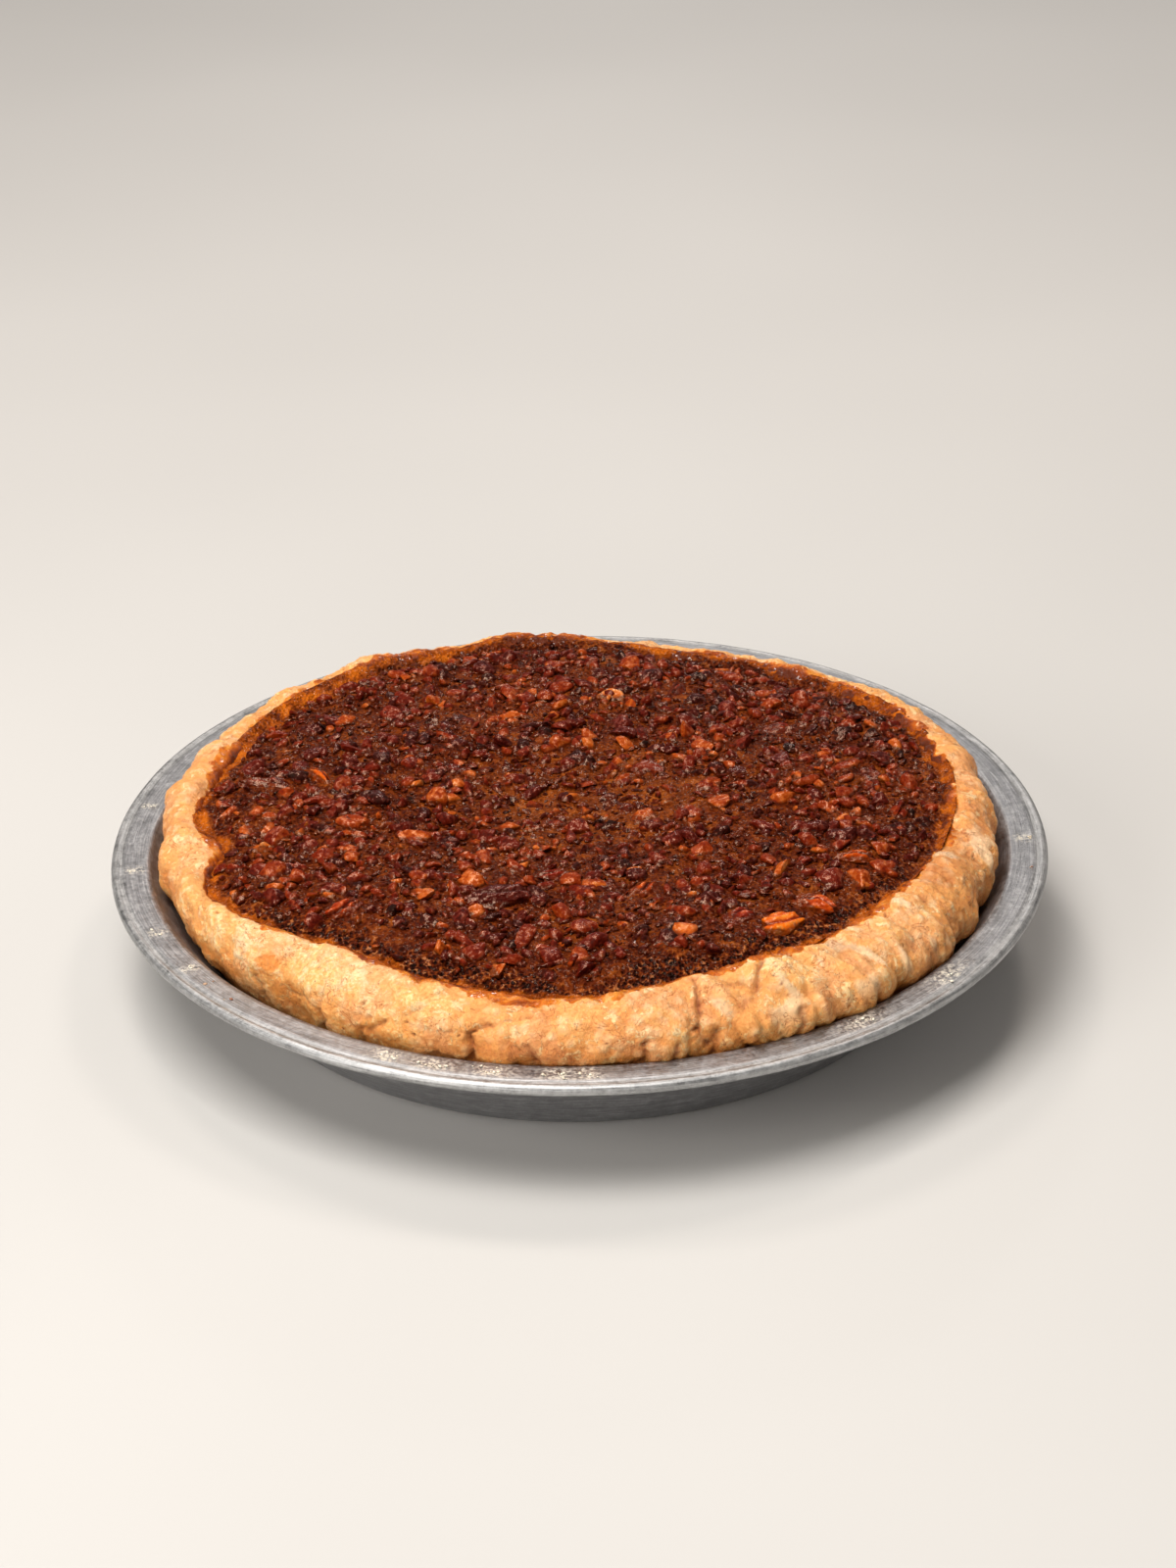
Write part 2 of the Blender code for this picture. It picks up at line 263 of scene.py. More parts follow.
def make_mesh(name, points, faces, material, attributes):
    """A smooth object from points and faces, with float attributes on its points."""
    mesh = bpy.data.meshes.new(name)
    mesh.from_pydata(points.tolist(), [], faces)
    for label, values in attributes.items():
        layer = mesh.attributes.new(label, "FLOAT", "POINT")
        layer.data.foreach_set("value", np.asarray(values, np.float32).ravel())
    mesh.shade_smooth()
    mesh.materials.append(material)
    made = bpy.data.objects.new(name, mesh)
    bpy.context.scene.collection.objects.link(made)
    return made


def ring_faces(starts, counts):
    """Quads between rings of points; where a ring has half the points, triangles join it."""
    faces = []
    for a, m, b, n in zip(starts, counts, starts[1:], counts[1:]):
        i = np.arange(n)
        near, far = b + i, b + (i + 1) % n
        if m == n:
            faces += np.stack([a + i, a + (i + 1) % n, far, near], axis=1).tolist()
            continue
        first, middle, last = a + 2 * i, a + 2 * i + 1, a + (2 * i + 2) % m
        for triangle in ([first, middle, near], [middle, last, far], [middle, far, near]):
            faces += np.stack(triangle, axis=1).tolist()
    return faces


def closed_rings(rings, first_pole, last_pole):
    """(points, faces) of a closed skin over rings, each end drawn in to one point."""
    counts = [len(ring) for ring in rings]
    starts = np.concatenate([[0], np.cumsum(counts)]).tolist()
    faces = ring_faces(starts[:-1], counts)
    points = np.concatenate([*rings, [first_pole], [last_pole]])
    for pole, start, count, turn in (
        (len(points) - 2, starts[0], counts[0], -1),
        (len(points) - 1, starts[-2], counts[-1], 1),
    ):
        i = np.arange(count)
        edge = np.stack([start + i, start + (i + 1) % count, np.full(count, pole)], axis=1)
        faces += edge[:, ::turn].tolist()
    return points, faces


def ball(subdivisions):
    """(points, triangles) of a round unit ball."""
    tools = bmesh.new()
    bmesh.ops.create_icosphere(tools, subdivisions=subdivisions, radius=1)
    tools.verts.ensure_lookup_table()
    points = np.array([v.co for v in tools.verts])
    faces = np.array([[v.index for v in f.verts] for f in tools.faces])
    tools.free()
    return points, faces


def copies(triangles, size, count):
    """The triangles of that many copies of a mesh with size points."""
    return (triangles + size * np.arange(count)[:, None, None]).reshape(-1, 3).tolist()


# ---- Materials ----


def paint(red, green, blue):
    """A colour given as it looks on a screen, from 0 to 255, as Blender's linear values."""
    linear = (((c / 255 + 0.055) / 1.055) ** 2.4 if c > 10 else c / 3295 for c in (red, green, blue))
    return (*linear, 1.0)


class Nodes:
    """Builds one material's node tree. Sizes and distances are in millimetres."""

    def __init__(self, name):
        self.material = bpy.data.materials.new(name)
        self.material.use_nodes = True
        self.tree = self.material.node_tree
        self.shader = self.tree.nodes["Principled BSDF"]

    def add(self, kind, inputs=None, **settings):
        node = self.tree.nodes.new("ShaderNode" + kind)
        for key, value in settings.items():
            setattr(node, key, value)
        for key, value in (inputs or {}).items():
            self.put(node.inputs[key], value)
        return node

    def put(self, socket, value):
        if isinstance(value, bpy.types.NodeSocket):
            self.tree.links.new(value, socket)
        else:
            socket.default_value = value

    def shade(self, **values):
        """Sets or links the shader's sockets, by their names with _ for a space."""
        for key, value in values.items():
            self.put(self.shader.inputs[key.replace("_", " ")], value)

    def place(self):
        return self.add("TexCoord").outputs["Object"]

    def attribute(self, label):
        return self.add("Attribute", attribute_name=label).outputs["Fac"]

    def grain(self, size, detail=4.0, roughness=0.55, distortion=0.0, where=None):
        """Noise from 0 to 1 whose lumps are about as wide as size."""
        inputs = {
            "Vector": where or self.place(),
            "Scale": 1 / (size * MM),
            "Detail": detail,
            "Roughness": roughness,
            "Distortion": distortion,
        }
        return self.add("TexNoise", inputs).outputs["Fac"]

    def bubbles(self, size):
        inputs = {"Vector": self.place(), "Scale": 1 / (size * MM)}
        return self.add("TexVoronoi", inputs, feature="F1").outputs["Distance"]

    def ramp(self, factor, *stops):
        """A ramp through stops (place, red, green, blue), as paint takes them, or (place, grey)."""
        node = self.add("ValToRGB", {"Fac": factor})
        elements = node.color_ramp.elements
        while len(elements) < len(stops):
            elements.new(0.5)
        for element, (at, *colour) in zip(elements, stops):
            element.position = at
            element.color = paint(*colour) if len(colour) == 3 else (*colour, *colour, *colour, 1)
        return node.outputs["Color"]

    def fade(self, factor, low, high, start=0.0, end=1.0):
        """A straight ramp from start at low to end at high."""
        return self.ramp(factor, (low, start), (high, end))

    def mix(self, factor, one, other, blend="MIX"):
        node = self.add("Mix", data_type="RGBA", blend_type=blend)
        for socket, value in ((0, factor), (6, one), (7, other)):
            self.put(node.inputs[socket], value)
        return node.outputs[2]

    def layered(self, base, *layers):
        """A colour with others laid over it in turn, each given as (share, red, green, blue)."""
        for share, *colour in layers:
            base = self.mix(share, base, paint(*colour))
        return base

    def math(self, operation, one, other=0.0, clamp=False):
        node = self.add("Math", operation=operation, use_clamp=clamp)
        self.put(node.inputs[0], one)
        self.put(node.inputs[1], other)
        return node.outputs[0]

    def times(self, one, other):
        return self.math("MULTIPLY", one, other)

    def less(self, one, other, clamp=False):
        return self.math("SUBTRACT", one, other, clamp)

    def total(self, *parts):
        """The sum of (value, share) pairs, each value times its share."""
        products = [self.times(*part) for part in parts]
        total = products[0]
        for product in products[1:]:
            total = self.math("ADD", total, product)
        return total

    def uneven(self, value, grain, reach, middle=0.5):
        """A value pushed up and down by a grain about its middle."""
        return self.math("ADD", value, self.times(self.less(grain, middle), reach))

    def glints(self, size, share):
        """Small wet spots: 1 over about that share of the surface, and 0 elsewhere."""
        start = 0.5 + 0.5 * (0.5 - share)
        return self.fade(self.grain(size, 2, 0.7), start, start + 0.06)

    def bumps(self, *layers):
        """A normal from (height, distance, strength) layers, each laid over the one before."""
        normal = None
        for height, distance, strength in layers:
            inputs = {"Height": height, "Distance": distance * MM, "Strength": strength}
            if normal is not None:
                inputs["Normal"] = normal
            normal = self.add("Bump", inputs).outputs["Normal"]
        return normal


GOLD_TONES = (
    (0.66, 208, 128, 64),
    (0.75, 224, 146, 76),
    (0.83, 235, 160, 86),
    (0.90, 241, 171, 96),
    (0.97, 248, 190, 117),
    (1.00, 253, 211, 148),
)
PALE_TONES = ((0.68, 204, 132, 82), (0.80, 222, 152, 100), (0.91, 238, 178, 126), (1.00, 250, 210, 168))
CARAMEL_TONES = ((0.40, 224, 140, 50), (0.53, 198, 98, 12), (0.72, 142, 58, 6), (0.92, 92, 34, 5))
AMBER_TONES = ((0.38, 86, 30, 5), (0.49, 148, 66, 8), (0.62, 200, 102, 16))
CUSTARD_TONES = (
    (0.34, 18, 3, 1),
    (0.46, 54, 12, 3),
    (0.58, 83, 28, 6),
    (0.70, 115, 49, 11),
    (0.84, 150, 77, 26),
)
NUT_TONES = (
    (0.0, 26, 8, 5),
    (0.2, 56, 10, 6),
    (0.4, 95, 21, 7),
    (0.6, 134, 46, 8),
    (0.8, 182, 86, 24),
    (1.0, 208, 128, 66),
)
PECAN_TONES = (
    (0.0, 26, 8, 5),
    (0.25, 72, 12, 6),
    (0.45, 124, 28, 6),
    (0.65, 178, 66, 8),
    (0.85, 216, 102, 14),
    (1.0, 228, 138, 46),
)
METAL_TONES = ((0.34, 117, 117, 119), (0.5, 156, 156, 158), (0.66, 199, 199, 201))
CRUMB_TONES = ((0.1, 140, 66, 24), (0.5, 214, 196, 168), (1.0, 238, 232, 214))
FLOOR_TONES = ((0.3, 189, 187, 184), (0.7, 196, 194, 191))


def baked_gold(nodes, flaky, crisp, fine):
    """The pastry's colour from random bake and the relief mask, which is painted shade and light:
    browner in hollows, paler where it stands out, lighter or darker on each side.
    """
    relief = nodes.attribute("relief")
    shares = ((flaky, 0.26), (nodes.grain(14, 3), 0.36), (crisp, 0.42), (fine, 0.42), (relief, 0.32))
    bake = nodes.less(nodes.total(*shares), 0.055)
    paler = nodes.fade(nodes.grain(16, 5, 0.6), 0.5, 0.56, end=0.5)
    return nodes.mix(paler, nodes.ramp(bake, *GOLD_TONES), nodes.ramp(bake, *PALE_TONES))


def crust_material():
    """Baked pastry: gold with cream flakes and toasted patches, painted shade in its creases, cracks,
    crevices and pinholes and along its foot by the tin, and stained where caramel ran."""
    nodes = Nodes("baked_pastry")
    flaky = nodes.grain(3.0, 7, 0.66, 0.8)
    crisp = nodes.grain(1.6, 5, 0.72, 1.2)
    fine = nodes.grain(0.9, 4, 0.7)
    toasted = nodes.fade(nodes.grain(8, 7, 0.7, 0.8), 0.54, 0.66, end=0.25)
    flakes = nodes.fade(nodes.math("ADD", flaky, nodes.times(crisp, 0.25)), 0.71, 0.73, end=0.65)
    specks = nodes.fade(nodes.grain(1.3, 2, 0.5), 0.27, 0.31, 1.0, 0.0)
    seldom = nodes.fade(nodes.grain(9, 2), 0.52, 0.6, end=0.8)
    wander = nodes.grain(7, 4, 0.6, 1.0)
    # Thin dark lines along little crevices of the surface: painted shade.
    lines = nodes.ramp(wander, (0.488, 0.0), (0.497, 0.75), (0.503, 0.75), (0.512, 0.0))
    lines = nodes.times(lines, nodes.fade(nodes.grain(8, 1), 0.46, 0.54))
    both = nodes.math("ADD", crisp, flaky)
    browned = nodes.uneven(nodes.attribute("brown"), both, 1.6, middle=1.0)
    browned = nodes.fade(browned, 0.4, 0.66, end=0.75)
    gold = nodes.layered(
        baked_gold(nodes, flaky, crisp, fine),
        (toasted, 232, 146, 60),
        (flakes, 254, 220, 162),
        (nodes.attribute("flour"), 250, 216, 172),
        (nodes.times(specks, seldom), 150, 84, 36),
        (lines, 188, 104, 42),
    )
    # The foot mask paints shade on the crust's lower part, next to the tin.
    gold = nodes.mix(nodes.attribute("foot"), gold, paint(253, 234, 206), "MULTIPLY")
    # The crease mask is painted shade in the creases, cracks and pinholes.
    gold = nodes.layered(gold, (browned, 226, 130, 44), (nodes.attribute("crease"), 142, 68, 26))
    stain = nodes.attribute("stain")
    wet = nodes.fade(nodes.uneven(stain, flaky, 0.9), 0.40, 0.47)
    pooled = nodes.uneven(stain, nodes.grain(6, 7, 0.68, 0.6), 1.2)
    nodes.shade(
        Base_Color=nodes.mix(wet, gold, nodes.ramp(pooled, *CARAMEL_TONES)),
        Roughness=nodes.fade(wet, 0.0, 1.0, 0.46, 0.3),
        Specular_IOR_Level=nodes.fade(wet, 0.0, 1.0, 0.42, 0.16),
        Subsurface_Weight=0.06,
        Subsurface_Radius=(0.004, 0.002, 0.001),
        Subsurface_Scale=0.3,
        Coat_Weight=nodes.times(wet, nodes.glints(1.6, 0.45)),
        Coat_Roughness=0.1,
        Normal=nodes.bumps(
            (flakes, 0.15, 0.7),
            (nodes.less(1.0, lines), 0.2, 0.7),
            (crisp, 0.7, 0.9),
            (fine, 0.3, 0.9),
        ),
    )
    return nodes.material


def filling_material():
    """Set caramel custard between the nuts, brown and glossy, with a foam of tiny bubbles."""
    nodes = Nodes("nut_custard")
    patches = nodes.grain(6, 6, 0.62)
    fine = nodes.grain(0.8, 3, 0.6)
    pores = nodes.bubbles(1.0)
    foam = nodes.attribute("foam")
    custard = nodes.attribute("custard")
    both = nodes.times(nodes.math("ADD", pores, nodes.bubbles(1.9)), 0.5)
    froth = nodes.times(foam, nodes.less(both, 0.64))
    broad = nodes.less(nodes.total((patches, 0.75), (nodes.grain(20, 2), 0.24)), 0.12)
    # The pores and froth paint shade into the bubbles' hollows and light onto their walls.
    shares = ((broad, 1.0), (fine, 0.2), (pores, 0.24), (froth, 0.65), (custard, 0.06))
    colour = nodes.ramp(nodes.total(*shares), *CUSTARD_TONES)
    colour = nodes.mix(custard, colour, nodes.layered(colour, (0.12, 150, 78, 22)))
    amber = nodes.ramp(nodes.mix(0.25, patches, fine), *AMBER_TONES)
    colour = nodes.mix(nodes.attribute("seam"), colour, amber)
    # The pit mask paints shade, near black, into the pits and bubble hollows.
    pit = nodes.attribute("pit")
    # Light flecks on the bubbles' walls: painted glints.
    painted_glints = nodes.times(nodes.fade(pores, 0.60, 0.72, end=0.7), nodes.glints(1.6, 0.45))
    painted_glints = nodes.times(painted_glints, foam)
    dry = nodes.less(1.0, nodes.times(pit, 1.5), clamp=True)
    shiny = nodes.times(dry, nodes.glints(1.1, 0.4))
    nodes.shade(
        Base_Color=nodes.layered(colour, (pit, 38, 10, 4), (painted_glints, 182, 116, 70)),
        Roughness=nodes.fade(shiny, 0.0, 1.0, 0.5, 0.1),
        Specular_IOR_Level=nodes.fade(shiny, 0.0, 1.0, 0.05, 0.6),
        Specular_Tint=paint(255, 222, 196),
        Coat_Weight=nodes.times(dry, nodes.glints(0.9, 0.16)),
        Coat_Roughness=0.06,
        Normal=nodes.bumps((pores, 0.7, 1.0), (fine, 0.5, 0.9)),
        Coat_Normal=nodes.bumps((nodes.bubbles(1.5), 0.8, 1.0), (nodes.grain(1.5, 1), 0.8, 1.0)),
    )
    return nodes.material


def nut_material(name, stops, roughness, mottling, shine):
    """Roasted, glazed nut: its tone turns into a colour, and custard films its lower parts."""
    nodes = Nodes(name)
    mottle = nodes.grain(1.5, 4, 0.6)
    colour = nodes.ramp(nodes.uneven(nodes.attribute("tone"), mottle, mottling), *stops)
    film = nodes.fade(nodes.uneven(nodes.attribute("film"), mottle, mottling), 0.5, 0.8, end=0.8)
    shiny = nodes.glints(1.5, shine)
    nodes.shade(
        Base_Color=nodes.mix(film, colour, nodes.ramp(nodes.grain(1.2), *CUSTARD_TONES)),
        Roughness=nodes.fade(shiny, 0.0, 1.0, roughness, 0.1),
        Specular_IOR_Level=nodes.fade(shiny, 0.0, 1.0, 0.05, 0.85),
        Specular_Tint=paint(255, 216, 188),
        Normal=nodes.bumps((mottle, 0.5, 0.8), (nodes.grain(0.6, 3), 0.15, 0.7)),
    )
    return nodes.material


def tin_material():
    """Satin aluminium with the fine rings of its spinning, scuffed, floury and oven-spotted."""
    nodes = Nodes("spun_aluminium")
    x, y, z = nodes.add("SeparateXYZ", {"Vector": nodes.place()}).outputs
    radius = nodes.math("SQRT", nodes.total((x, x), (y, y)))
    turn = nodes.times(nodes.math("ARCTAN2", y, x), 0.004)
    rings = nodes.add("CombineXYZ", {"X": radius, "Y": turn, "Z": z}).outputs[0]
    spun = nodes.grain(0.4, 3, where=rings)
    scuffs = nodes.grain(3.5, 6, 0.72)
    spots = nodes.grain(0.9, 4, 0.65)
    tone = nodes.total((spun, 0.4), (scuffs, 0.35), (spots, 0.25))
    dusty = nodes.times(nodes.attribute("dust"), nodes.fade(spots, 0.46, 0.58))
    metal = nodes.layered(nodes.ramp(tone, *METAL_TONES), (dusty, 214, 206, 190))
    bead = nodes.fade(tone, 0.36, 0.6, 0.18, 0.56)
    nodes.shade(
        Base_Color=nodes.mix(nodes.attribute("bead"), metal, bead),
        Metallic=nodes.less(0.96, nodes.times(dusty, 0.8)),
        Roughness=nodes.fade(nodes.mix(0.5, scuffs, spots), 0.38, 0.62, 0.38, 0.60),
        Normal=nodes.bumps((spun, 0.12, 0.8), (spots, 0.2, 0.5)),
    )
    return nodes.material


def crumb_material():
    nodes = Nodes("pale_crumbs")
    tone = nodes.math("ADD", nodes.attribute("tone"), nodes.times(nodes.grain(0.5), 0.2))
    colour = nodes.ramp(tone, *CRUMB_TONES)
    nodes.shade(Base_Color=colour, Roughness=0.8, Normal=nodes.bumps((nodes.grain(0.3, 2), 0.1, 0.6)))
    return nodes.material


def floor_material():
    nodes = Nodes("pale_floor")
    nodes.shade(Base_Color=nodes.ramp(nodes.grain(400, 2), *FLOOR_TONES), Roughness=0.7)
    return nodes.material


# ---- The camera, the floor and the light ----

CAMERA_DISTANCE = 0.929
CAMERA_ELEVATION = 28.72
CAMERA_PITCH = 27.9
CAMERA_YAW = 0.18
CAMERA_ROLL = -0.95
CAMERA_LENS = 80.1
WARM, WARMER, ROSY = (1, 0.97, 0.93), (1, 0.95, 0.9), (1, 0.9, 0.82)
PIE_MIDDLE = (0, 0, 0.03)
FLOOR_SIZE = 8
SKY_STRENGTH = 0.27
# Soft lights: name, place, width and height, power, colour, and what each points at.
LIGHTS = (
    ("overhead", (-0.3, -0.25, 1.2), (0.7, 0.7), 16, WARM, PIE_MIDDLE),
    ("window", (-0.95, -0.85, 0.75), (0.5, 0.5), 6.8, WARM, PIE_MIDDLE),
    ("front_fill", (-0.45, -1.05, 0.3), (0.5, 0.3), 2.2, WARMER, PIE_MIDDLE),
    ("rear_left", (-0.35, 0.7, 1.15), (0.24, 0.24), 3.2, ROSY, PIE_MIDDLE),
    ("rear_right", (0.4, 0.6, 1.2), (0.24, 0.24), 3.2, ROSY, PIE_MIDDLE),
    ("back", (0.08, 1.2, 0.55), (0.16, 0.1), 0.9, (1, 1, 1), (0.035, 0.113, 0.031)),
)


def turn_about(axis, degrees):
    return Matrix.Rotation(math.radians(degrees), 4, axis)


def make_camera(rim_height):
    camera = bpy.data.objects.new("camera", bpy.data.cameras.new("camera"))
    camera.data.lens = CAMERA_LENS
    rise = math.radians(CAMERA_ELEVATION)
    place = Vector((0, -math.cos(rise), math.sin(rise))) * CAMERA_DISTANCE
    aim = turn_about("Z", -CAMERA_YAW) @ turn_about("X", 90 - CAMERA_PITCH)
    aim = aim @ turn_about("Z", CAMERA_ROLL)
    camera.matrix_world = Matrix.Translation(place + Vector((0, 0, rim_height))) @ aim
    bpy.context.scene.collection.objects.link(camera)
    bpy.context.scene.camera = camera


def soft_box(name, place, size, power, colour, target):
    light = bpy.data.lights.new(name, "AREA")
    light.shape = "RECTANGLE"
    light.size, light.size_y = size
    light.energy = power
    light.color = colour
    holder = bpy.data.objects.new(name, light)
    holder.location = place
    aim = Vector(target) - Vector(place)
    holder.rotation_euler = aim.to_track_quat("-Z", "Y").to_euler()
    bpy.context.scene.collection.objects.link(holder)


def make_studio():
    bpy.ops.mesh.primitive_plane_add(size=FLOOR_SIZE)
    floor = bpy.context.object
    floor.name = "floor"
    floor.data.materials.append(floor_material())
    for light in LIGHTS:
        soft_box(*light)
    world = bpy.data.worlds.new("studio")
    bpy.context.scene.world = world
    world.use_nodes = True
    background = world.node_tree.nodes["Background"].inputs
    background["Color"].default_value = (*WARMER, 1)
    background["Strength"].default_value = SKY_STRENGTH
    bpy.context.scene.view_settings.view_transform = "Standard"


# ---- The crust ----

# Cracks and folds that stand out: the azimuth and rise of one end and of the other, then width and
# depth in mm. The rise runs from 0 at the tin's rim to 1 at the top of the crust.
CRACKS = (
    (256.2, -0.15, 256.6, 0.37, 0.75, 2.4),
    (256.6, 0.37, 258.6, 0.50, 0.5, 0.9),
    (258.6, 0.50, 263.5, 0.72, 0.45, 0.6),
    (249.7, 0.27, 256.6, 0.37, 0.5, 0.4),
    (247.0, 0.36, 251.4, 0.81, 0.6, 0.6),
    (248.6, 0.60, 252.2, 0.98, 0.55, 0.5),
    (242.3, 0.03, 244.6, 0.24, 0.7, 0.9),
    (222.8, 0.15, 223.9, -0.50, 0.7, 1.0),
    (231.2, 0.24, 235.8, 0.00, 0.5, 0.9),
    (234.9, -0.02, 235.6, -0.30, 0.7, 1.0),
    (241.4, 0.05, 240.9, -0.25, 0.7, 1.0),
    (228.2, 0.04, 232.2, 0.16, 0.55, 0.8),
    (264.3, -0.05, 263.6, 0.25, 0.9, 1.3),
    (277.6, 0.26, 277.2, -0.15, 0.8, 1.4),
    (281.4, 0.18, 281.0, -0.10, 0.8, 1.0),
    (285.9, 1.02, 284.1, 0.30, 0.6, 1.5),
    (284.1, 0.30, 285.4, 0.04, 0.7, 1.2),
    (286.4, 0.23, 285.9, -0.15, 1.0, 1.8),
    (295.6, 1.05, 293.0, 0.66, 0.7, 1.5),
    (289.6, 0.92, 292.8, 0.72, 0.55, 0.9),
    (297.8, 0.30, 296.2, -0.10, 0.9, 1.4),
)
CREASE_DEPTH = 1.9  # mm, of the creases between two folds
CREASE_WIDTH = 0.9 * MM
RISE_LENGTH = 17 * MM  # along the crust's section for a rise of 1
# A toasted patch: azimuth and rise of its middle, half its width in degrees and half its rise.
BROWNED = (224.6, 0.46, 3.2, 0.2)
# How far (mm) the caramel has run out past the crust's crest, from azimuths in degrees. Where it
# is negative, the caramel stops short of the crest.
RUN_REACH = {
    0: -1.4, 30: -0.4, 60: 2.2, 90: 3.4, 120: 2.0, 150: -1.2, 175: -2.8, 191: -3.2, 205: -2.4,
    230: -1.2, 243: 0.6, 255: 1.2, 265: 0.7, 276: 0.6, 286: -0.8, 300: -1.2, 320: -1.6, 340: -2.2,
}
# How much paler (positive) or browner the crust is made, from azimuths in degrees: partly how it baked
# and partly painted light and shade for how much light each side of the pie gets.
BAKE_AND_PAINTED_LIGHT = {
    0: -0.14, 45: 0, 90: 0.02, 135: -0.04, 180: -0.14, 200: -0.08, 215: 0.02,
    232: 0.12, 245: 0.08, 262: -0.15, 280: -0.14, 300: 0.08, 318: -0.02, 335: -0.14,
}


def sample_crust(azimuths, rim_height):
    """Radius and height (rows, stations) of the crust's solid, up its outside, over, and down."""
    tree = tree_of("crust")
    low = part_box("crust")[0].z
    wall = np.linspace(low + 2.6 * MM, rim_height - 9 * MM, 5)
    stand = np.arange(rim_height - 8.4 * MM, rim_height + 2.4 * MM, 0.6 * MM)
    outside = np.concatenate([wall, stand])
    spine_z = outside[-1] + 0.6 * MM
    down = np.linspace(rim_height - 3 * MM, low + 4.2 * MM, 6)
    inside = np.concatenate([[spine_z - 0.8 * MM, spine_z - 2 * MM], down])
    fan = np.radians(np.linspace(0, 180, RIM_ARC_ROWS))
    radius = np.empty((len(outside) + len(fan) + len(inside), len(azimuths)))
    height = np.empty_like(radius)
    for station, ray in enumerate(compass(azimuths)):
        out = Vector(ray)
        hits = [level_hit(tree, out, BEYOND, z, -1) for z in outside]
        inner = level_hit(tree, out, WITHIN, spine_z, 1)
        spine = (inner + level_hit(tree, out, BEYOND, spine_z, -1)) / 2
        for angle in fan:
            ray = out * math.cos(angle) + Vector((0, 0, math.sin(angle)))
            hits.append(tree.ray_cast(spine, ray)[0])
        hits += [level_hit(tree, out, WITHIN, z, 1) for z in inside]
        radius[:, station] = [hit.xy.length for hit in hits]
        height[:, station] = [hit.z for hit in hits]
    rows = np.zeros(len(radius), bool)
    rows[len(outside) - 6 : len(outside) + len(fan)] = True
    return [blur_rows(blur_round(values, 3.5), rows, 12) for values in (radius, height)]


def rise_of(radius, height, rim_height):
    """(0 at the tin's rim, 1 at the crust's crest and more beyond it, the distance from the crest
    along the section, in metres and negative outside)."""
    step = np.hypot(np.diff(radius, axis=0), np.diff(height, axis=0))
    along = np.concatenate([np.zeros((1, radius.shape[1])), np.cumsum(step, axis=0)])
    columns = np.arange(radius.shape[1])
    start = along[np.argmax(height > rim_height, axis=0), columns]
    crest = blur_round(along[np.argmax(height, axis=0), columns], 8)
    return (along - start) / (crest - start), along - crest


def crease_lines(azimuths, outline):
    """(azimuth, strength) of each dip of the rim's outline between two folds."""
    dips = (outline < np.roll(outline, 1)) & (outline <= np.roll(outline, -1))
    wide = blur_round(outline, len(azimuths) * 6 / 360)
    strengths = np.clip((wide - outline) / (0.8 * MM), 0, 1)
    return zip(azimuths[dips], strengths[dips])


def groove(azimuths, rise, ends, width, reach, seed):
    """0 to 1 across a line between two (azimuth, rise) ends, wandering and uneven."""
    from_azimuth, from_rise, to_azimuth, to_rise = ends
    per_degree = reach * math.pi / 180
    x = past(azimuths, from_azimuth) * per_degree
    y = (rise - from_rise) * RISE_LENGTH
    span = np.array([(to_azimuth - from_azimuth) * per_degree, (to_rise - from_rise) * RISE_LENGTH])
    length = np.hypot(*span)
    share = np.clip((x * span[0] + y * span[1]) / length**2, 0, 1)
    spot = flat(x, y)
    wander = 0.7 * MM * noise(spot, 4 * MM, seed) + 0.3 * MM * noise(spot, 1.2 * MM, seed + 1)
    apart = np.hypot(x - share * span[0], y - share * span[1])
    side = (x * span[1] - y * span[0]) / length + wander
    inside = np.where((share > 0) & (share < 1), np.abs(side), apart)
    return np.exp(-((inside / width) ** 1.6)) * (0.75 + 0.25 * noise(spot, 2 * MM, seed + 2))


def pleated(azimuth, along, reach):
    """Places stretched along the folds of the rolled dough, which lean as the edge turns."""
    across = azimuth * math.pi / 180 * reach
    lean = 0.8 * np.sin(np.radians(azimuth - 150))
    spot = flat(across + lean * along, along * 0.34)
    swirl = 1.6 * MM * noise(spot, 8 * MM, 34)
    return spot + swirl[..., None] * np.array([1, 0.4, 0])


def pleats(spot, seed):
    """Rounded folds with sharp creases between, from -1 to 1, and 1 along the creases."""
    fold = np.abs(noise(spot, 7.0 * MM, seed))
    small = np.abs(noise(spot, 3.2 * MM, seed + 1))
    lobes = 0.7 * np.clip(2.8 * fold - 0.8, -1, 1) + 0.3 * np.clip(2.8 * small - 0.8, -1, 1)
    return lobes, smooth(0.09, 0.0, fold)


def carve(relief, azimuths, azimuth, rise, outline):
    """Cuts the creases between folds and the cracks into a relief (mm). It gives how dark they are
    painted, as painted shade."""
    reach = float(outline.mean())
    crease, crack = np.zeros_like(rise), np.zeros_like(rise)
    for number, (line, strength) in enumerate(crease_lines(azimuths, outline)):
        lean = 2.6 * (lattice(np.array([number, 0, 0]), 3) - 0.5)
        ends = (line + lean, -0.6, line - lean, 1.25)
        fade = smooth(1.5, 0.1, rise) * (0.4 + 0.6 * strength)
        cut = groove(azimuth, rise, ends, CREASE_WIDTH, reach, 100 + number)
        crease = np.maximum(crease, fade * cut)
    relief -= CREASE_DEPTH * crease
    for number, (*ends, width, depth) in enumerate(CRACKS):
        cut = groove(azimuth, rise, ends, width * MM, reach, 200 + 5 * number)
        relief -= depth * cut
        crack = np.maximum(crack, cut * min(depth / 1.1, 1))
    return 0.6 * crease**2 + crack**1.3


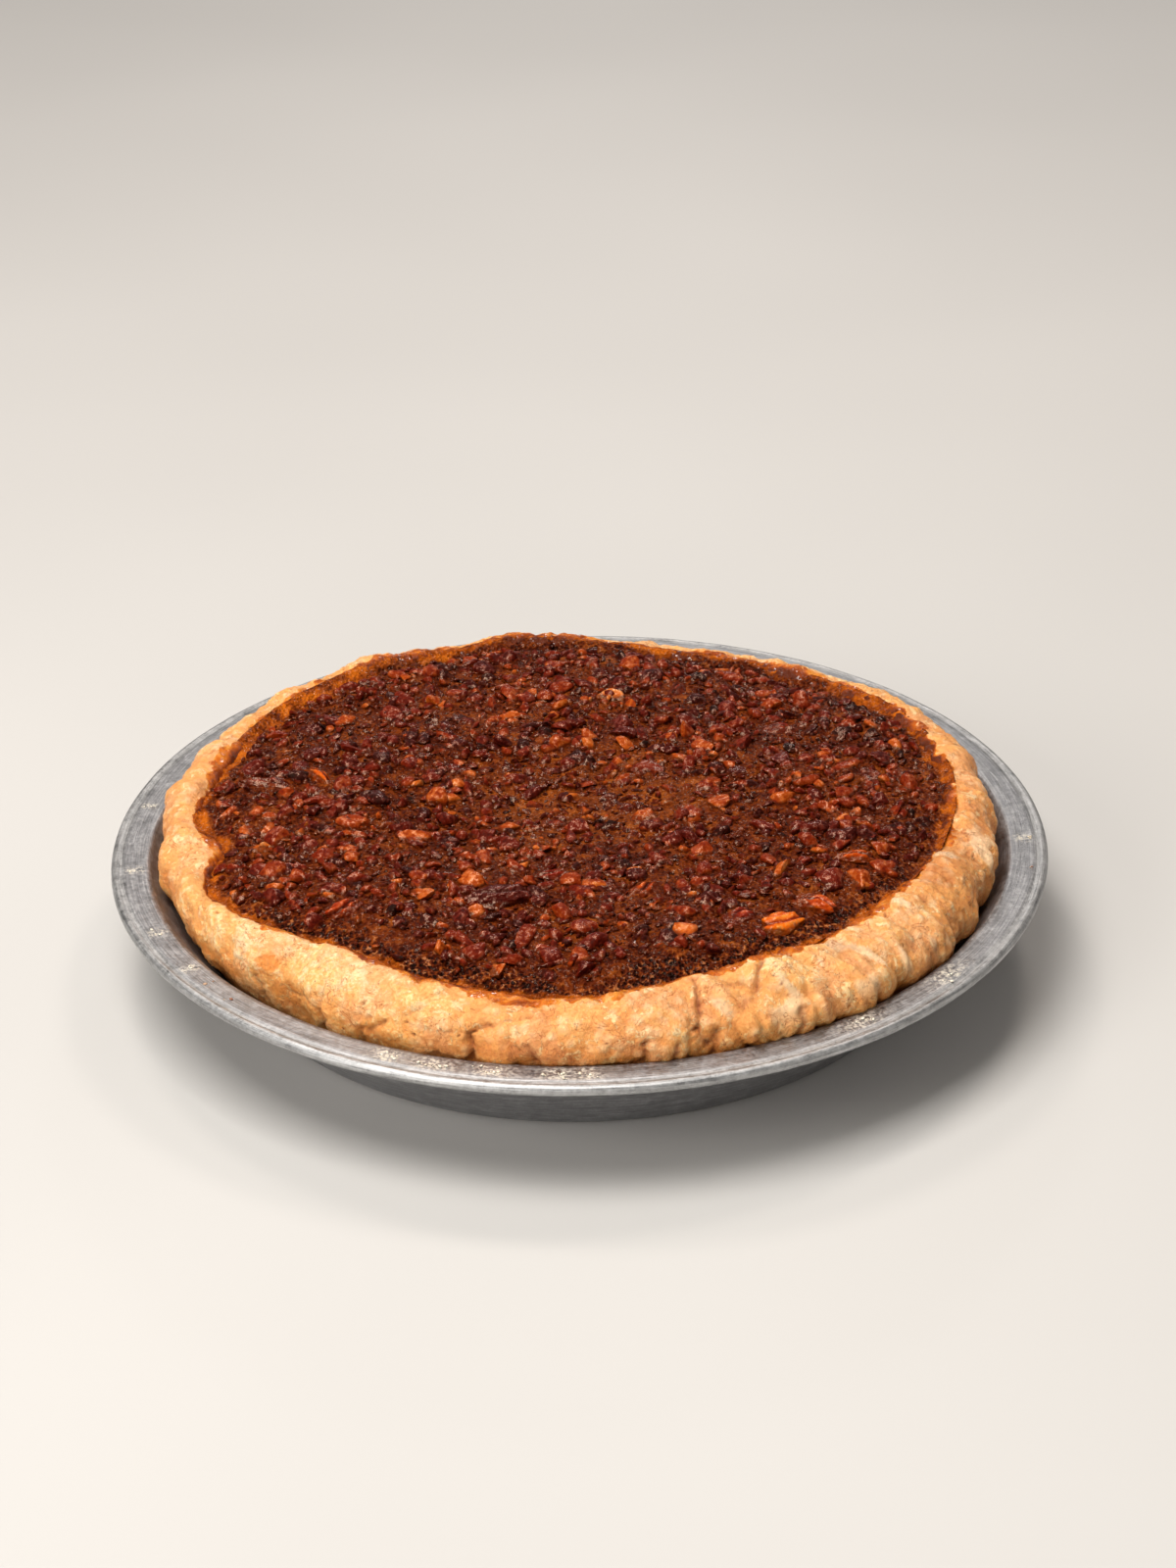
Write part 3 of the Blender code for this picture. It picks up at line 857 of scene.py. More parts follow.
def crust_relief(grid, azimuths, rise, along, outline):
    """Relief (metres) of the baked surface, and the masks that its colour follows."""
    azimuth = np.broadcast_to(azimuths, rise.shape)
    lumps = rough_noise(grid, 10 * MM, 11, octaves=2)
    knobs = rough_noise(grid, 3.8 * MM, 23, gain=0.6)
    right = smooth(278, 292, azimuth) * smooth(358, 342, azimuth)
    spot = pleated(azimuth, along, float(outline.mean()))
    folds, between = pleats(spot, 31)
    streaks = smooth(0.22, 0.5, noise(spot, 2.6 * MM, 37)) * smooth(-0.1, 0.3, noise(grid, 10 * MM, 39))
    streaks = streaks * (0.15 + 0.85 * right) * smooth(0.0, 0.35, rise)
    terrace = 2.4 * rough_noise(grid * np.array([1, 1, 0.8]), 8 * MM, 47, octaves=5, gain=0.62)
    layers = np.floor(terrace) + smooth(0.0, 0.16, terrace - np.floor(terrace))
    blister, label = domes(grid, 2.5 * MM, 53, 0.6)
    blister = blister * (label > 0.66)
    grit, label = domes(grid, 1.3 * MM, 67, 0.6)
    grit = grit * (label > 0.45)
    pinhole = pits(grid, 3.4 * MM, 71, 0.1, 0.18, 0.08)
    relief = 0.85 * lumps + 0.34 * knobs + (0.4 + 0.75 * right) * folds + 0.22 * layers
    relief = relief + 0.26 * blister + 0.14 * grit + 0.3 * streaks - 0.8 * pinhole
    dark = carve(relief, azimuths, azimuth, rise, outline)
    centre, middle, width, tall = BROWNED
    apart = np.hypot(past(azimuth, centre) / width, (rise - middle) / tall)
    # The relief mask paints shade and light: browner where the surface sinks, paler where it stands out,
    # and lighter or darker on each side of the pie.
    high = 2.6 * by_azimuth(azimuth, BAKE_AND_PAINTED_LIGHT) + 0.28 * knobs + 0.22 * folds
    high = high + 0.26 * (layers - terrace + 0.5) + 0.4 * blister
    masks = {
        "relief": np.clip(0.5 + 0.5 * high, 0, 1),
        # Painted shade in the creases, cracks and pinholes.
        "crease": np.clip(dark + 0.9 * pinhole + 0.3 * between * right, 0, 0.95),
        "flour": np.clip(0.7 * streaks + 0.35 * blister, 0, 0.75),
        "brown": 0.8 * smooth(1.0, 0.5, apart + 0.7 * knobs),
        # Painted shade on the crust's lower part, next to the tin.
        "foot": smooth(0.5, -0.1, rise + 0.1 * knobs + 0.1 * lumps),
    }
    return relief * MM, masks


def caramel_run(grid, azimuths, along, from_edge):
    """How far the crust is stained: 0 where it's plain, rising past the crest to 1 at the
    filling."""
    ragged = 2.8 * MM * rough_noise(grid, 7 * MM, 83, gain=0.6) + 0.5 * MM * noise(grid, 1.3 * MM, 89)
    beyond = along + ragged + by_azimuth(azimuths, RUN_REACH) * MM
    near = smooth(3.2 * MM, 0, from_edge + 0.5 * ragged)
    return 0.55 * smooth(-0.9 * MM, 0.9 * MM, beyond) + 0.4 * near


def make_crust(surface, rim_height):
    """The pastry shell, closed under the pie, with a baked and hand-folded surface."""
    azimuths = stations(RIM_STATIONS)
    radius, height = sample_crust(azimuths, rim_height)
    grid = radius[..., None] * compass(azimuths) + height[..., None] * np.array([0, 0, 1])
    rise, along = rise_of(radius, height, rim_height)
    outline = radius[np.argmin(np.abs(height[:, 0] - rim_height - 2 * MM))]
    relief, masks = crust_relief(grid, azimuths, rise, along, outline)
    masks["stain"] = caramel_run(grid, azimuths, along, radius - surface.lap(azimuths) + OVERRUN)
    shown = smooth(rim_height - 9 * MM, rim_height - 5 * MM, height) * smooth(2.1, 1.7, rise)
    shown = relief * shown * (1 - 0.4 * smooth(1.0, 1.35, rise))
    grid = grid + normals_of(grid) * shown[..., None]
    grid[..., 2] = under_top(grid[..., 2], cad_box[1].z)
    points, faces = closed_rings(list(grid), (0, 0, height[0, 0]), (0, 0, height[-1, 0]))
    attributes = {label: np.append(values, [0, 0]) for label, values in masks.items()}
    return make_mesh("crust_baked", points, faces, crust_material(), attributes)


# ---- The filling ----

POLAR_STATIONS = 240
POLAR_RINGS = 64
EDGE_AZIMUTHS = np.arange(0, 360, 3)
SLOPE_STEP = 0.5 * MM
SLOPE_STEPS = 13
POCKET_PASSES = 400  # of smoothing, which close the nuts' pockets
CUSTARD_PATCH = ((6, 34), (2, 26))  # its middle and half its size, in mm, along X and Y
FOAM_AZIMUTH = 272  # the middle of the band of foam

# From azimuths in degrees: how far (mm) the filling laps over the crust's inner slope, how high
# (mm) it lies on it, or under it where that is negative, and how wide (mm) the amber caramel is
# along its edge.
LAP_WIDTHS = {
    0: 3.6, 25: 3.8, 45: 4.6, 60: 5.4, 90: 5.6, 115: 5.2, 135: 4.2, 150: 3.0, 175: 2.0, 205: 2.2,
    230: 2.6, 270: 2.6, 310: 2.6, 335: 3.0,
}
LAP_LIFTS = {
    0: 0.2, 25: 0.1, 45: 0.5, 60: 0.9, 90: 0.9, 115: 0.9, 135: 0.5, 150: 0.2, 175: -0.4, 205: -0.6,
    230: -1, 270: -1, 310: -1, 335: -0.4,
}
AMBER_WIDTHS = {
    0: 4.4, 25: 5.2, 45: 4.0, 60: 2.6, 90: 1.8, 110: 2.6, 125: 4.6, 145: 7.0, 160: 5.4, 175: 3.2,
    195: 3.0, 215: 4.0, 235: 3.4, 270: 3.0, 310: 2.2, 335: 2.6,
}


def edge_of_filling():
    """Radius and height of the filling's edge, at EDGE_AZIMUTHS."""
    points = points_of("filling")
    points = points[points[:, 2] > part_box("filling")[1].z - 12 * MM]
    azimuth, radius = azimuth_of(points), radius_of(points)
    near = np.abs(past(azimuth, EDGE_AZIMUTHS[:, None])) < 0.5
    at = np.argmax(np.where(near, radius, 0), axis=1)
    return radius[at], points[at, 2]


def pecan_boxes():
    return [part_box(node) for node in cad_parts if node.startswith("pecan")]


class Surface:
    """The top of the filling's solid, with the nuts' pockets smoothed over, and the slope of the
    crust's solid beyond its edge."""

    def __init__(self):
        self.edge_radius, edge_height = edge_of_filling()
        self.azimuths = stations(POLAR_STATIONS)
        self.shares = np.linspace(0, 1, POLAR_RINGS)[:, None]
        reach = self.reach(self.azimuths)
        heights = heights_of("filling", self.azimuths, np.minimum(self.shares, 0.99) * reach)
        heights[-1] = np.interp(self.azimuths, EDGE_AZIMUTHS, edge_height, period=360)
        self.heights = self.without_pockets(heights, reach)
        beyond = np.arange(1, SLOPE_STEPS + 1)[:, None] * SLOPE_STEP
        self.slope = blur_round(heights_of("crust", self.azimuths, reach + beyond), 1.5)

    def reach(self, azimuths):
        """The edge's radius at some azimuths."""
        return np.interp(azimuths, EDGE_AZIMUTHS, self.edge_radius, period=360)

    def lap(self, azimuths):
        """The radius to which the filling laps over the crust's inner slope."""
        return self.reach(azimuths) + by_azimuth(azimuths, LAP_WIDTHS) * MM

    def height_on_slope(self, azimuth, beyond):
        """Where the filling lies on the crust's slope, at distances beyond its own edge."""
        step = np.clip(beyond / SLOPE_STEP - 1, 0, SLOPE_STEPS - 1.001)
        low = np.floor(step).astype(int)
        station = np.round(azimuth / 360 * POLAR_STATIONS).astype(int) % POLAR_STATIONS
        slope = blend(self.slope[low, station], self.slope[low + 1, station], step - low)
        return slope + by_azimuth(azimuth, LAP_LIFTS) * MM

    def without_pockets(self, heights, reach):
        """Heights (rings, stations) smoothed where the pecans' pockets are."""
        places = (self.shares * reach)[..., None] * compass(self.azimuths)
        pocket = np.zeros(heights.shape, bool)
        for low, high in pecan_boxes():
            low, high = np.array(low)[:2] - MM, np.array(high)[:2] + MM
            pocket |= ((places[..., :2] > low) & (places[..., :2] < high)).all(axis=-1)
        pocket[-1] = False
        heights = heights.copy()
        for _ in range(POCKET_PASSES):
            around = np.roll(heights, 1, axis=1) + np.roll(heights, -1, axis=1)
            around[1:-1] += heights[2:] + heights[:-2]
            around[1:-1] /= 4
            heights[pocket] = around[pocket]
        return blur_round(blur_rows(heights, np.ones(POLAR_RINGS, bool), 3), 2.0)

    def height(self, places):
        """The surface's height at some places, an array whose last axis begins with x and y."""
        azimuth, distance = azimuth_of(places), radius_of(places)
        reach = self.reach(azimuth)
        share = np.clip(distance / reach, 0, 1)
        column = azimuth / 360 * POLAR_STATIONS
        row = share * (POLAR_RINGS - 1)
        left = np.floor(column).astype(int)
        low = np.minimum(np.floor(row).astype(int), POLAR_RINGS - 2)
        along, across = column - left, row - low
        left, right = left % POLAR_STATIONS, (left + 1) % POLAR_STATIONS
        lower = blend(self.heights[low, left], self.heights[low, right], along)
        upper = blend(self.heights[low + 1, left], self.heights[low + 1, right], along)
        beyond = np.maximum(distance - reach, 0)
        waves = 0.5 * MM * noise(flat(places[..., 0], places[..., 1]), 9 * MM, 61)
        level = blend(lower, upper, across) + 0.12 * beyond + waves * smooth(1, 0.93, share)
        climbed = np.maximum(self.height_on_slope(azimuth, beyond), level)
        return level + (climbed - level) * smooth(0, 1.0 * MM, beyond)


def custard_patch(points):
    """1 in the sunken middle, where smooth custard shows, and 0 well away from it."""
    (x, width), (y, depth) = CUSTARD_PATCH
    apart = np.hypot((points[..., 0] - x * MM) / width, (points[..., 1] - y * MM) / depth) / MM
    return smooth(1.25, 0.45, apart + 0.35 * rough_noise(points, 14 * MM, 91, octaves=2))


def foam_share(points, inward):
    """1 in the band of foam along the front edge, fading inward and towards the back."""
    front = 0.25 + 0.75 * smooth(70, 40, np.abs(azimuth_of(points) - FOAM_AZIMUTH))
    width = FOAM_WIDTH * (0.75 + 0.35 * noise(points, 16 * MM, 95))
    return front * smooth(0, 1.5 * MM, inward) * smooth(1.0, 0.6, inward / width)


def edge_lift(azimuth):
    """How far the filling's rim stands up (mm), and at the back how far it sinks into the crust."""
    return 0.25 - 0.6 * smooth(-0.2, 0.8, by_azimuth(azimuth, LAP_LIFTS))


def filling_relief(points, inward):
    """Relief (metres) of the filling's surface, and the masks that its colour follows."""
    custard = custard_patch(points)
    foam = foam_share(points, inward)
    azimuth = azimuth_of(points)
    lumps = rough_noise(points, 4.5 * MM, 101, gain=0.6)
    bubble, label = domes(points, 2.0 * MM, 107, 0.5)
    bubble = bubble * smooth(0.15, 0.6, label)
    froth, _ = domes(points, 1.05 * MM, 113, 0.55)
    pit = pits(points, 5.5 * MM, 127, 0.42, 0.28, 0.14) * (0.25 + 0.75 * foam)
    edge = smooth(2.2 * MM, 0.3 * MM, inward)
    relief = 0.55 * (1 - 0.6 * custard) * lumps - 1.1 * foam * bubble - 0.6 * foam * froth
    relief = relief - 1.7 * pit - 0.25 * (1 - foam) * bubble
    relief = blend(relief, edge_lift(azimuth) + 0.3 * noise(points, 3 * MM, 137), edge)
    seam = by_azimuth(azimuth, AMBER_WIDTHS)
    seam *= 1 + 0.75 * noise(points, 9 * MM, 131) + 0.3 * noise(points, 2.2 * MM, 133)
    seam *= MM
    # hollow feeds the pit mask, which paints shade into the pits and bubbles.
    hollow = np.clip(pit + foam * (0.6 * bubble**1.5 + 0.2 * froth**2) - 0.05, 0, 1)
    masks = {
        "custard": custard,
        "seam": 0.9 * smooth(1.15, 0.8, inward / np.maximum(seam, 0.8 * MM)),
        "pit": hollow * smooth(1.2 * MM, 4.0 * MM, inward),
        "foam": foam,
    }
    return relief * MM, masks


def filling_rings(surface):
    """(azimuths, radius) of rings from the filling's edge to its middle."""
    reach = surface.edge_radius.mean() + OVERRUN
    foam = np.arange(0, FOAM_WIDTH, EDGE_STEP)
    for offset in (*foam, *np.arange(FOAM_WIDTH, reach - MM, INNER_STEP)):
        halvings = sum(reach - offset < limit * reach for limit in HALVED_AT)
        azimuths = stations(FILLING_STATIONS // 2**halvings)
        yield azimuths, (1 - offset / reach) * surface.lap(azimuths)


def make_filling(surface):
    """The filling's surface at the fineness of its bubbles, on a plain closed body."""
    rings, inwards = [], []
    for azimuths, radius in filling_rings(surface):
        ring = radius[:, None] * compass(azimuths)
        ring[:, 2] = surface.height(ring)
        rings.append(ring)
        inwards.append(surface.lap(azimuths) - radius)
    joined = np.concatenate(rings)
    relief, masks = filling_relief(joined, np.concatenate(inwards))
    joined[:, 2] = under_top(joined[:, 2] + relief, cad_box[1].z - 0.3 * MM)
    rings = np.split(joined, np.cumsum([len(ring) for ring in rings])[:-1])
    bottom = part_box("filling")[0].z
    skirt = []
    for share, drop in ((0.86, 35 * MM), (0.90, 22 * MM), (0.94, 10 * MM), (0.985, 3 * MM)):
        lower = rings[0] * np.array([share, share, 1])
        lower[:, 2] = np.maximum(rings[0][:, 2] - drop, bottom)
        skirt.append(lower)
    middle = surface.height(np.zeros((1, 2)))[0]
    points, faces = closed_rings([*skirt, *rings], (0, 0, bottom), (0, 0, middle))
    padding = np.zeros(sum(len(ring) for ring in skirt))
    attributes = {label: np.concatenate([padding, values, [0, 0]]) for label, values in masks.items()}
    return make_mesh("filling_surface", points, faces, filling_material(), attributes)


# ---- The nuts ----


def turned(axis, angles):
    """(3, 3, count) rotations about one of the axes 0, 1 and 2."""
    one, other = (axis + 1) % 3, (axis + 2) % 3
    turn = np.zeros((3, 3, len(angles)))
    turn[axis, axis] = 1
    turn[one, one] = turn[other, other] = np.cos(angles)
    turn[other, one] = np.sin(angles)
    turn[one, other] = -turn[other, one]
    return turn


def random_turns(rng, count, tilt):
    """(count, 3, 3) rotations: any heading, then a lean of about tilt radians."""
    heading = turned(2, rng.uniform(0, 2 * math.pi, count))
    roll = turned(0, rng.normal(0, tilt, count))
    pitch = turned(1, rng.normal(0, tilt, count))
    return np.einsum("ijn,jkn,kln->nil", heading, pitch, roll)


def chop(points, rng, cuts, depth):
    """Cuts each blob of an (n, points, 3) array flat against a few random planes. It also gives
    how much of each point's place is a cut face."""
    cut = np.zeros(points.shape[:2])
    for _ in range(cuts):
        normal = rng.normal(size=(len(points), 1, 3))
        normal /= np.linalg.norm(normal, axis=-1, keepdims=True)
        limit = rng.uniform(depth, 0.95, (len(points), 1))
        beyond = np.maximum((points * normal).sum(-1) - limit, 0)
        points = points - beyond[..., None] * normal
        cut = np.maximum(cut, smooth(0.0, 0.08, beyond))
    return points, cut


TRIANGLE_HEIGHT = 0.866  # between the rows of an even scatter, in spacings


def scatter(rng, spacing, surface, margin):
    """Uneven places over the filling, about as far apart as spacing and within its edge."""
    reach = surface.edge_radius.max() + OVERRUN
    places = []
    for number, y in enumerate(np.arange(-reach, reach, spacing * TRIANGLE_HEIGHT)):
        x = np.arange(-reach, reach, spacing) + (number % 2) * spacing / 2
        places.append(np.stack([x, np.full_like(x, y)], axis=1))
    places = np.concatenate(places)
    places += rng.uniform(-0.42, 0.42, places.shape) * spacing
    inward = surface.lap(azimuth_of(places)) - OVERRUN - radius_of(places)
    return places[inward > margin], inward[inward > margin]


def clear_of_pecans(places, gap):
    """Which places don't lie on one of the large pecan pieces."""
    clear = np.ones(len(places), bool)
    for low, high in pecan_boxes():
        middle = np.array((low + high)[:2]) / 2
        half = np.array((high - low)[:2]) / 2
        clear &= np.linalg.norm((places - middle) / (half + gap), axis=1) > 1
    return clear


def make_bits(name, surface, places, lengths, tones, sunk, detail, seed):
    """Chopped nuts as one mesh: each a cut, dented blob set into the surface, with pale flesh on
    its cut faces and custard over its lower parts."""
    rng = np.random.default_rng(seed)
    template, triangles = ball(detail)
    count, size = len(places), len(template)
    blobs = np.repeat(template[None], count, axis=0)
    shift = rng.uniform(0, 40, (count, 1, 3))
    blobs = blobs * (1 + 0.30 * noise(blobs + shift, 0.9, seed))[..., None]
    blobs, cut = chop(blobs, rng, 5, 0.38)
    widths, thicknesses = rng.uniform(0.45, 0.9, count), rng.uniform(0.35, 0.7, count)
    shape = np.stack([np.ones(count), widths, thicknesses], axis=1)
    blobs = blobs * (shape * lengths[:, None] / 2)[:, None, :]
    blobs = np.einsum("nij,npj->npi", random_turns(rng, count, 0.4), blobs)
    half = (blobs[..., 2].max(1) - blobs[..., 2].min(1)) / 2
    heights = surface.height(places) + (1 - 2 * sunk) * half
    heights = np.minimum(heights, cad_box[1].z - 0.1 * MM - blobs[..., 2].max(1))
    points = (blobs + np.stack([*places.T, heights], axis=1)[:, None]).reshape(-1, 3)
    ground = surface.height(points)
    if detail > 1:
        outward = blobs / np.maximum(np.linalg.norm(blobs, axis=-1, keepdims=True), 1e-9)
        dents = 0.3 * MM * rough_noise(points, 1.9 * MM, seed, octaves=2)
        points = points + outward.reshape(-1, 3) * dents[:, None]
        points[:, 2] = np.minimum(points[:, 2], cad_box[1].z)
    skin = np.repeat(tones, size)
    flesh = np.clip(skin + 0.09, 0, 0.9)
    attributes = {
        "tone": skin + (flesh - skin) * cut.ravel() * np.repeat(rng.random(count) < 0.6, size),
        "film": smooth(1.8 * MM, 0.1 * MM, points[:, 2] - ground),
    }
    glaze = bpy.data.materials["glazed_nut"]
    made = make_mesh(name, points, copies(triangles, size, count), glaze, attributes)
    made.data.set_sharp_from_angle(angle=math.radians(50))
    return made


# Chopped nuts by kind: the mesh's name, the spacing (mm), how near the edge they come (mm), their
# lengths (mm), how deep they're sunk, the fineness of their mesh, and the share of places kept.
NUT_KINDS = (
    ("nut_large_bits", 8.4, 4.0, (5.4, 9.4), 0.56, 3, 0.85),
    ("nut_middle_bits", 4.5, 2.4, (3.2, 6.2), 0.54, 2, 0.95),
    ("nut_small_bits", 3.5, 1.6, (1.8, 3.6), 0.48, 2, 0.7),
    ("nut_crumbs", 2.4, 0.8, (0.9, 1.9), 0.45, 1, 0.75),
)
NUTS_SEED = 41
BITS_SEED = 50
CRUMBS_SEED = 77
# Their shares and tones: brown skin, orange flesh, pale and charred.
NUT_SHARES = (0.58, 0.32, 0.05, 0.05)
NUT_SHADES = (0.32, 0.50, 0.66, 0.15)


def nut_tones(rng, spots):
    """Tones of chopped nuts, which are darker in some parts of the pie than in others."""
    middle = np.array(NUT_SHADES)[rng.choice(4, len(spots), p=NUT_SHARES)]
    return np.clip(middle + 0.20 * noise(spots, 9 * MM, 67) + rng.normal(0, 0.07, len(spots)), 0.02, 0.8)


def make_chopped_nuts(surface):
    """The heap of chopped nuts over the filling: large, middling and small bits, and crumbs."""
    rng = np.random.default_rng(NUTS_SEED)
    nut_material("glazed_nut", NUT_TONES, 0.42, 0.95, 0.5)
    for seed, (name, spacing, margin, sizes, sunk, detail, keep) in enumerate(NUT_KINDS, BITS_SEED):
        places, inward = scatter(rng, spacing * MM, surface, margin * MM)
        spots = flat(*places.T)
        foam, custard = foam_share(spots, inward), custard_patch(spots)
        crowd = 1 + 0.7 * noise(spots, 12 * MM, 63) * (sizes[1] > 5)
        chance = keep * crowd * (1 - 0.8 * foam) * (1 - 0.12 * custard)
        chance = chance * smooth(0.5 * MM, 4 * MM, inward)
        stays = (rng.random(len(places)) < chance) & clear_of_pecans(places, 0.2 * MM)
        places = places[stays]
        lengths = rng.uniform(*sizes, len(places)) * MM
        tones = nut_tones(rng, spots[stays])
        deeper = sunk + 0.12 * custard[stays]
        yield make_bits(name, surface, places, lengths, tones, deeper, detail, seed)


# The large pieces' tones, from dark skin (0) to pale flesh (1), and how much further (mm) than
# their solids they stand up, or less where it is negative, in the order of their numbers.
PECAN_LOOKS = (0.24, 0.80, 0.66, 0.46, 0.70, 0.38, 0.76, 0.66, 0.58, 0.44, 0.40, 0.34, 0.46, 0.40)
PECAN_LIFTS = (1.3, -0.6, -0.4, -0.4, -0.6, -0.3, -0.2, -0.3, -0.3, -0.3, -0.4, -0.4, -0.4, -0.4)
PECAN_SWELLING = (1.06, 1.06, 1.15)  # makes up for the furrows and cuts


def wrinkled_ball(rng, seed):
    """A round pecan piece: points, triangles, and how far each point lies in the furrow, on a
    ridge and on a cut face."""
    points, faces = ball(5)
    points = points * (1 + 0.22 * rough_noise(points + seed, 0.8, seed, octaves=3, gain=0.6))[:, None]
    above = np.clip(points[:, 2] + 0.2, 0, 1)
    bend = 0.2 * np.sin(2.5 * points[:, 0] + seed)
    furrow = np.exp(-(((points[:, 1] + bend) / 0.16) ** 2)) * above
    ridges = 0.5 + 0.5 * np.cos(points[:, 1] * 9 + 1.8 * np.sin(3 * points[:, 0] + seed))
    points = points * (1 - 0.24 * furrow - 0.12 * ridges * above)[:, None]
    points, cut = chop(points[None], rng, 5, 0.55)
    points = points[0] * (1 + 0.05 * rough_noise(points[0], 0.3, seed + 9, octaves=2))[:, None]
    return points, faces.tolist(), furrow, ridges, cut[0]


def make_pecan(surface, node, tone, lift, seed):
    """A large piece of pecan: wrinkled and furrowed skin above, broken flesh at its ends."""
    solid = points_of(node)
    middle = (solid.max(0) + solid.min(0)) / 2
    _, _, axes = np.linalg.svd(solid - middle, full_matrices=False)
    if axes[2, 2] < 0:
        axes[2] *= -1
    if np.linalg.det(axes) < 0:
        axes[1] *= -1
    local = (solid - middle) @ axes.T
    half = (local.max(0) - local.min(0)) / 2
    points, faces, furrow, ridges, cut = wrinkled_ball(np.random.default_rng(seed), seed)
    placed = points * half * PECAN_SWELLING @ axes + middle + np.array([0, 0, lift * MM])
    placed[:, 2] = np.minimum(placed[:, 2], cad_box[1].z)
    attributes = {
        # Paler flesh on cut faces; darker in the furrow and grooves, which is painted shade.
        "tone": np.clip(tone * (1 + 0.15 * cut - 0.35 * furrow - 0.12 * ridges), 0, 1),
        "film": smooth(2.4 * MM, 0.4 * MM, placed[:, 2] - surface.height(placed)),
    }
    glaze = nut_material(node + "_glaze", PECAN_TONES, 0.4, 0.7, 0.55)
    made = make_mesh(node + "_kernel", placed, faces, glaze, attributes)
    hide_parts(node)
    return made


# ---- The tin ----


def arc(centre, radius, start, end, steps):
    angles = np.radians(np.linspace(start, end, steps + 1))
    return [(centre[0] + radius * math.cos(a), centre[1] + radius * math.sin(a)) for a in angles]


def slant(start, end):
    """Ten places from just past a start to an end."""
    (x, y), (to_x, to_y) = start, end
    return [(x + s * (to_x - x), y + s * (to_y - y)) for s in np.linspace(0.1, 1, 10)]


def level(height, start, end, count):
    return [(radius, height) for radius in np.linspace(start, end, count)]


def tin_section():
    """(radius, height) of the sheet from the middle of its underside round to its inside."""
    lip, _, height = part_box("tin")[1]
    solid = points_of("tin")
    base = radius_of(solid)[solid[:, 2] < 0.1 * MM].max() + 2.2 * MM
    well = lip - TIN_RIM_WIDTH
    slope = math.atan2(height, well - base)
    corner = 4 * MM
    back = corner * math.tan(slope / 2)
    under = height - PAN_GAUGE
    outside = level(0, 12 * MM, base - back, 8)
    outside += arc((base - back, corner), corner, -90, -90 + math.degrees(slope), 6)[1:]
    outside += slant(outside[-1], (well - 1.2 * MM, under - 1.2 * MM))
    outside += [(well + 0.6 * MM, under)]
    bead = (lip - BEAD_RADIUS, height - BEAD_RADIUS)
    outside += level(under, well + 2 * MM, bead[0] - BEAD_RADIUS, 4)
    rolled = arc(bead, BEAD_RADIUS, -160, 100, 18)
    flat_rim = [(bead[0] - 1.1 * MM, height - 0.45 * MM), (bead[0] - 1.8 * MM, height - 0.1 * MM)]
    flat_rim += level(height, bead[0] - 2.4 * MM, well, 8)
    brim = ((0.7, 0.12), (1.3, 0.5), (1.8, 1.1))
    inner = [(well - inward * MM, height - down * MM) for inward, down in brim]
    inward = PAN_GAUGE * math.tan(slope / 2) * 1.6
    foot = (base - back + corner * math.sin(slope) - inward, corner * (1 - math.cos(slope)) + PAN_GAUGE)
    inner += slant(inner[-1], foot)
    floor = [(base - back - 2 * MM, PAN_GAUGE), *level(PAN_GAUGE, base - back - 6 * MM, 12 * MM, 7)]
    return outside + rolled + flat_rim + inner + floor


# Crumbs and flour left on the tin's flat rim: (azimuth, how far out on the rim from 0 to 1,
# spread in mm, count, tone from brown (0) to floury (1)).
CRUMB_SPOTS = (
    (246.5, 0.35, 3.0, 9, 0.8),
    (252.5, 0.45, 4.0, 14, 0.75),
    (259.5, 0.4, 4.0, 12, 0.7),
    (267.0, 0.45, 3.5, 10, 0.75),
    (270.5, 0.5, 2.5, 6, 0.7),
    (170.0, 0.45, 1.0, 3, 0.9),
    (187.5, 0.45, 1.2, 4, 0.9),
    (204.0, 0.5, 1.0, 3, 0.85),
    (214.0, 0.4, 1.2, 4, 0.85),
    (218.0, 0.45, 1.4, 4, 0.15),
    (223.0, 0.6, 0.8, 2, 0.1),
    (349.0, 0.75, 1.2, 4, 0.2),
    (357.0, 0.8, 1.2, 3, 0.5),
    (320.0, 0.6, 5.0, 8, 0.9),
    (305.0, 0.5, 5.0, 8, 0.9),
)
FLOURY = 0.3  # spots with a paler tone than this have flour round their crumbs
CRUMB_SIZES = (0.2, 0.3, 0.55)  # mm


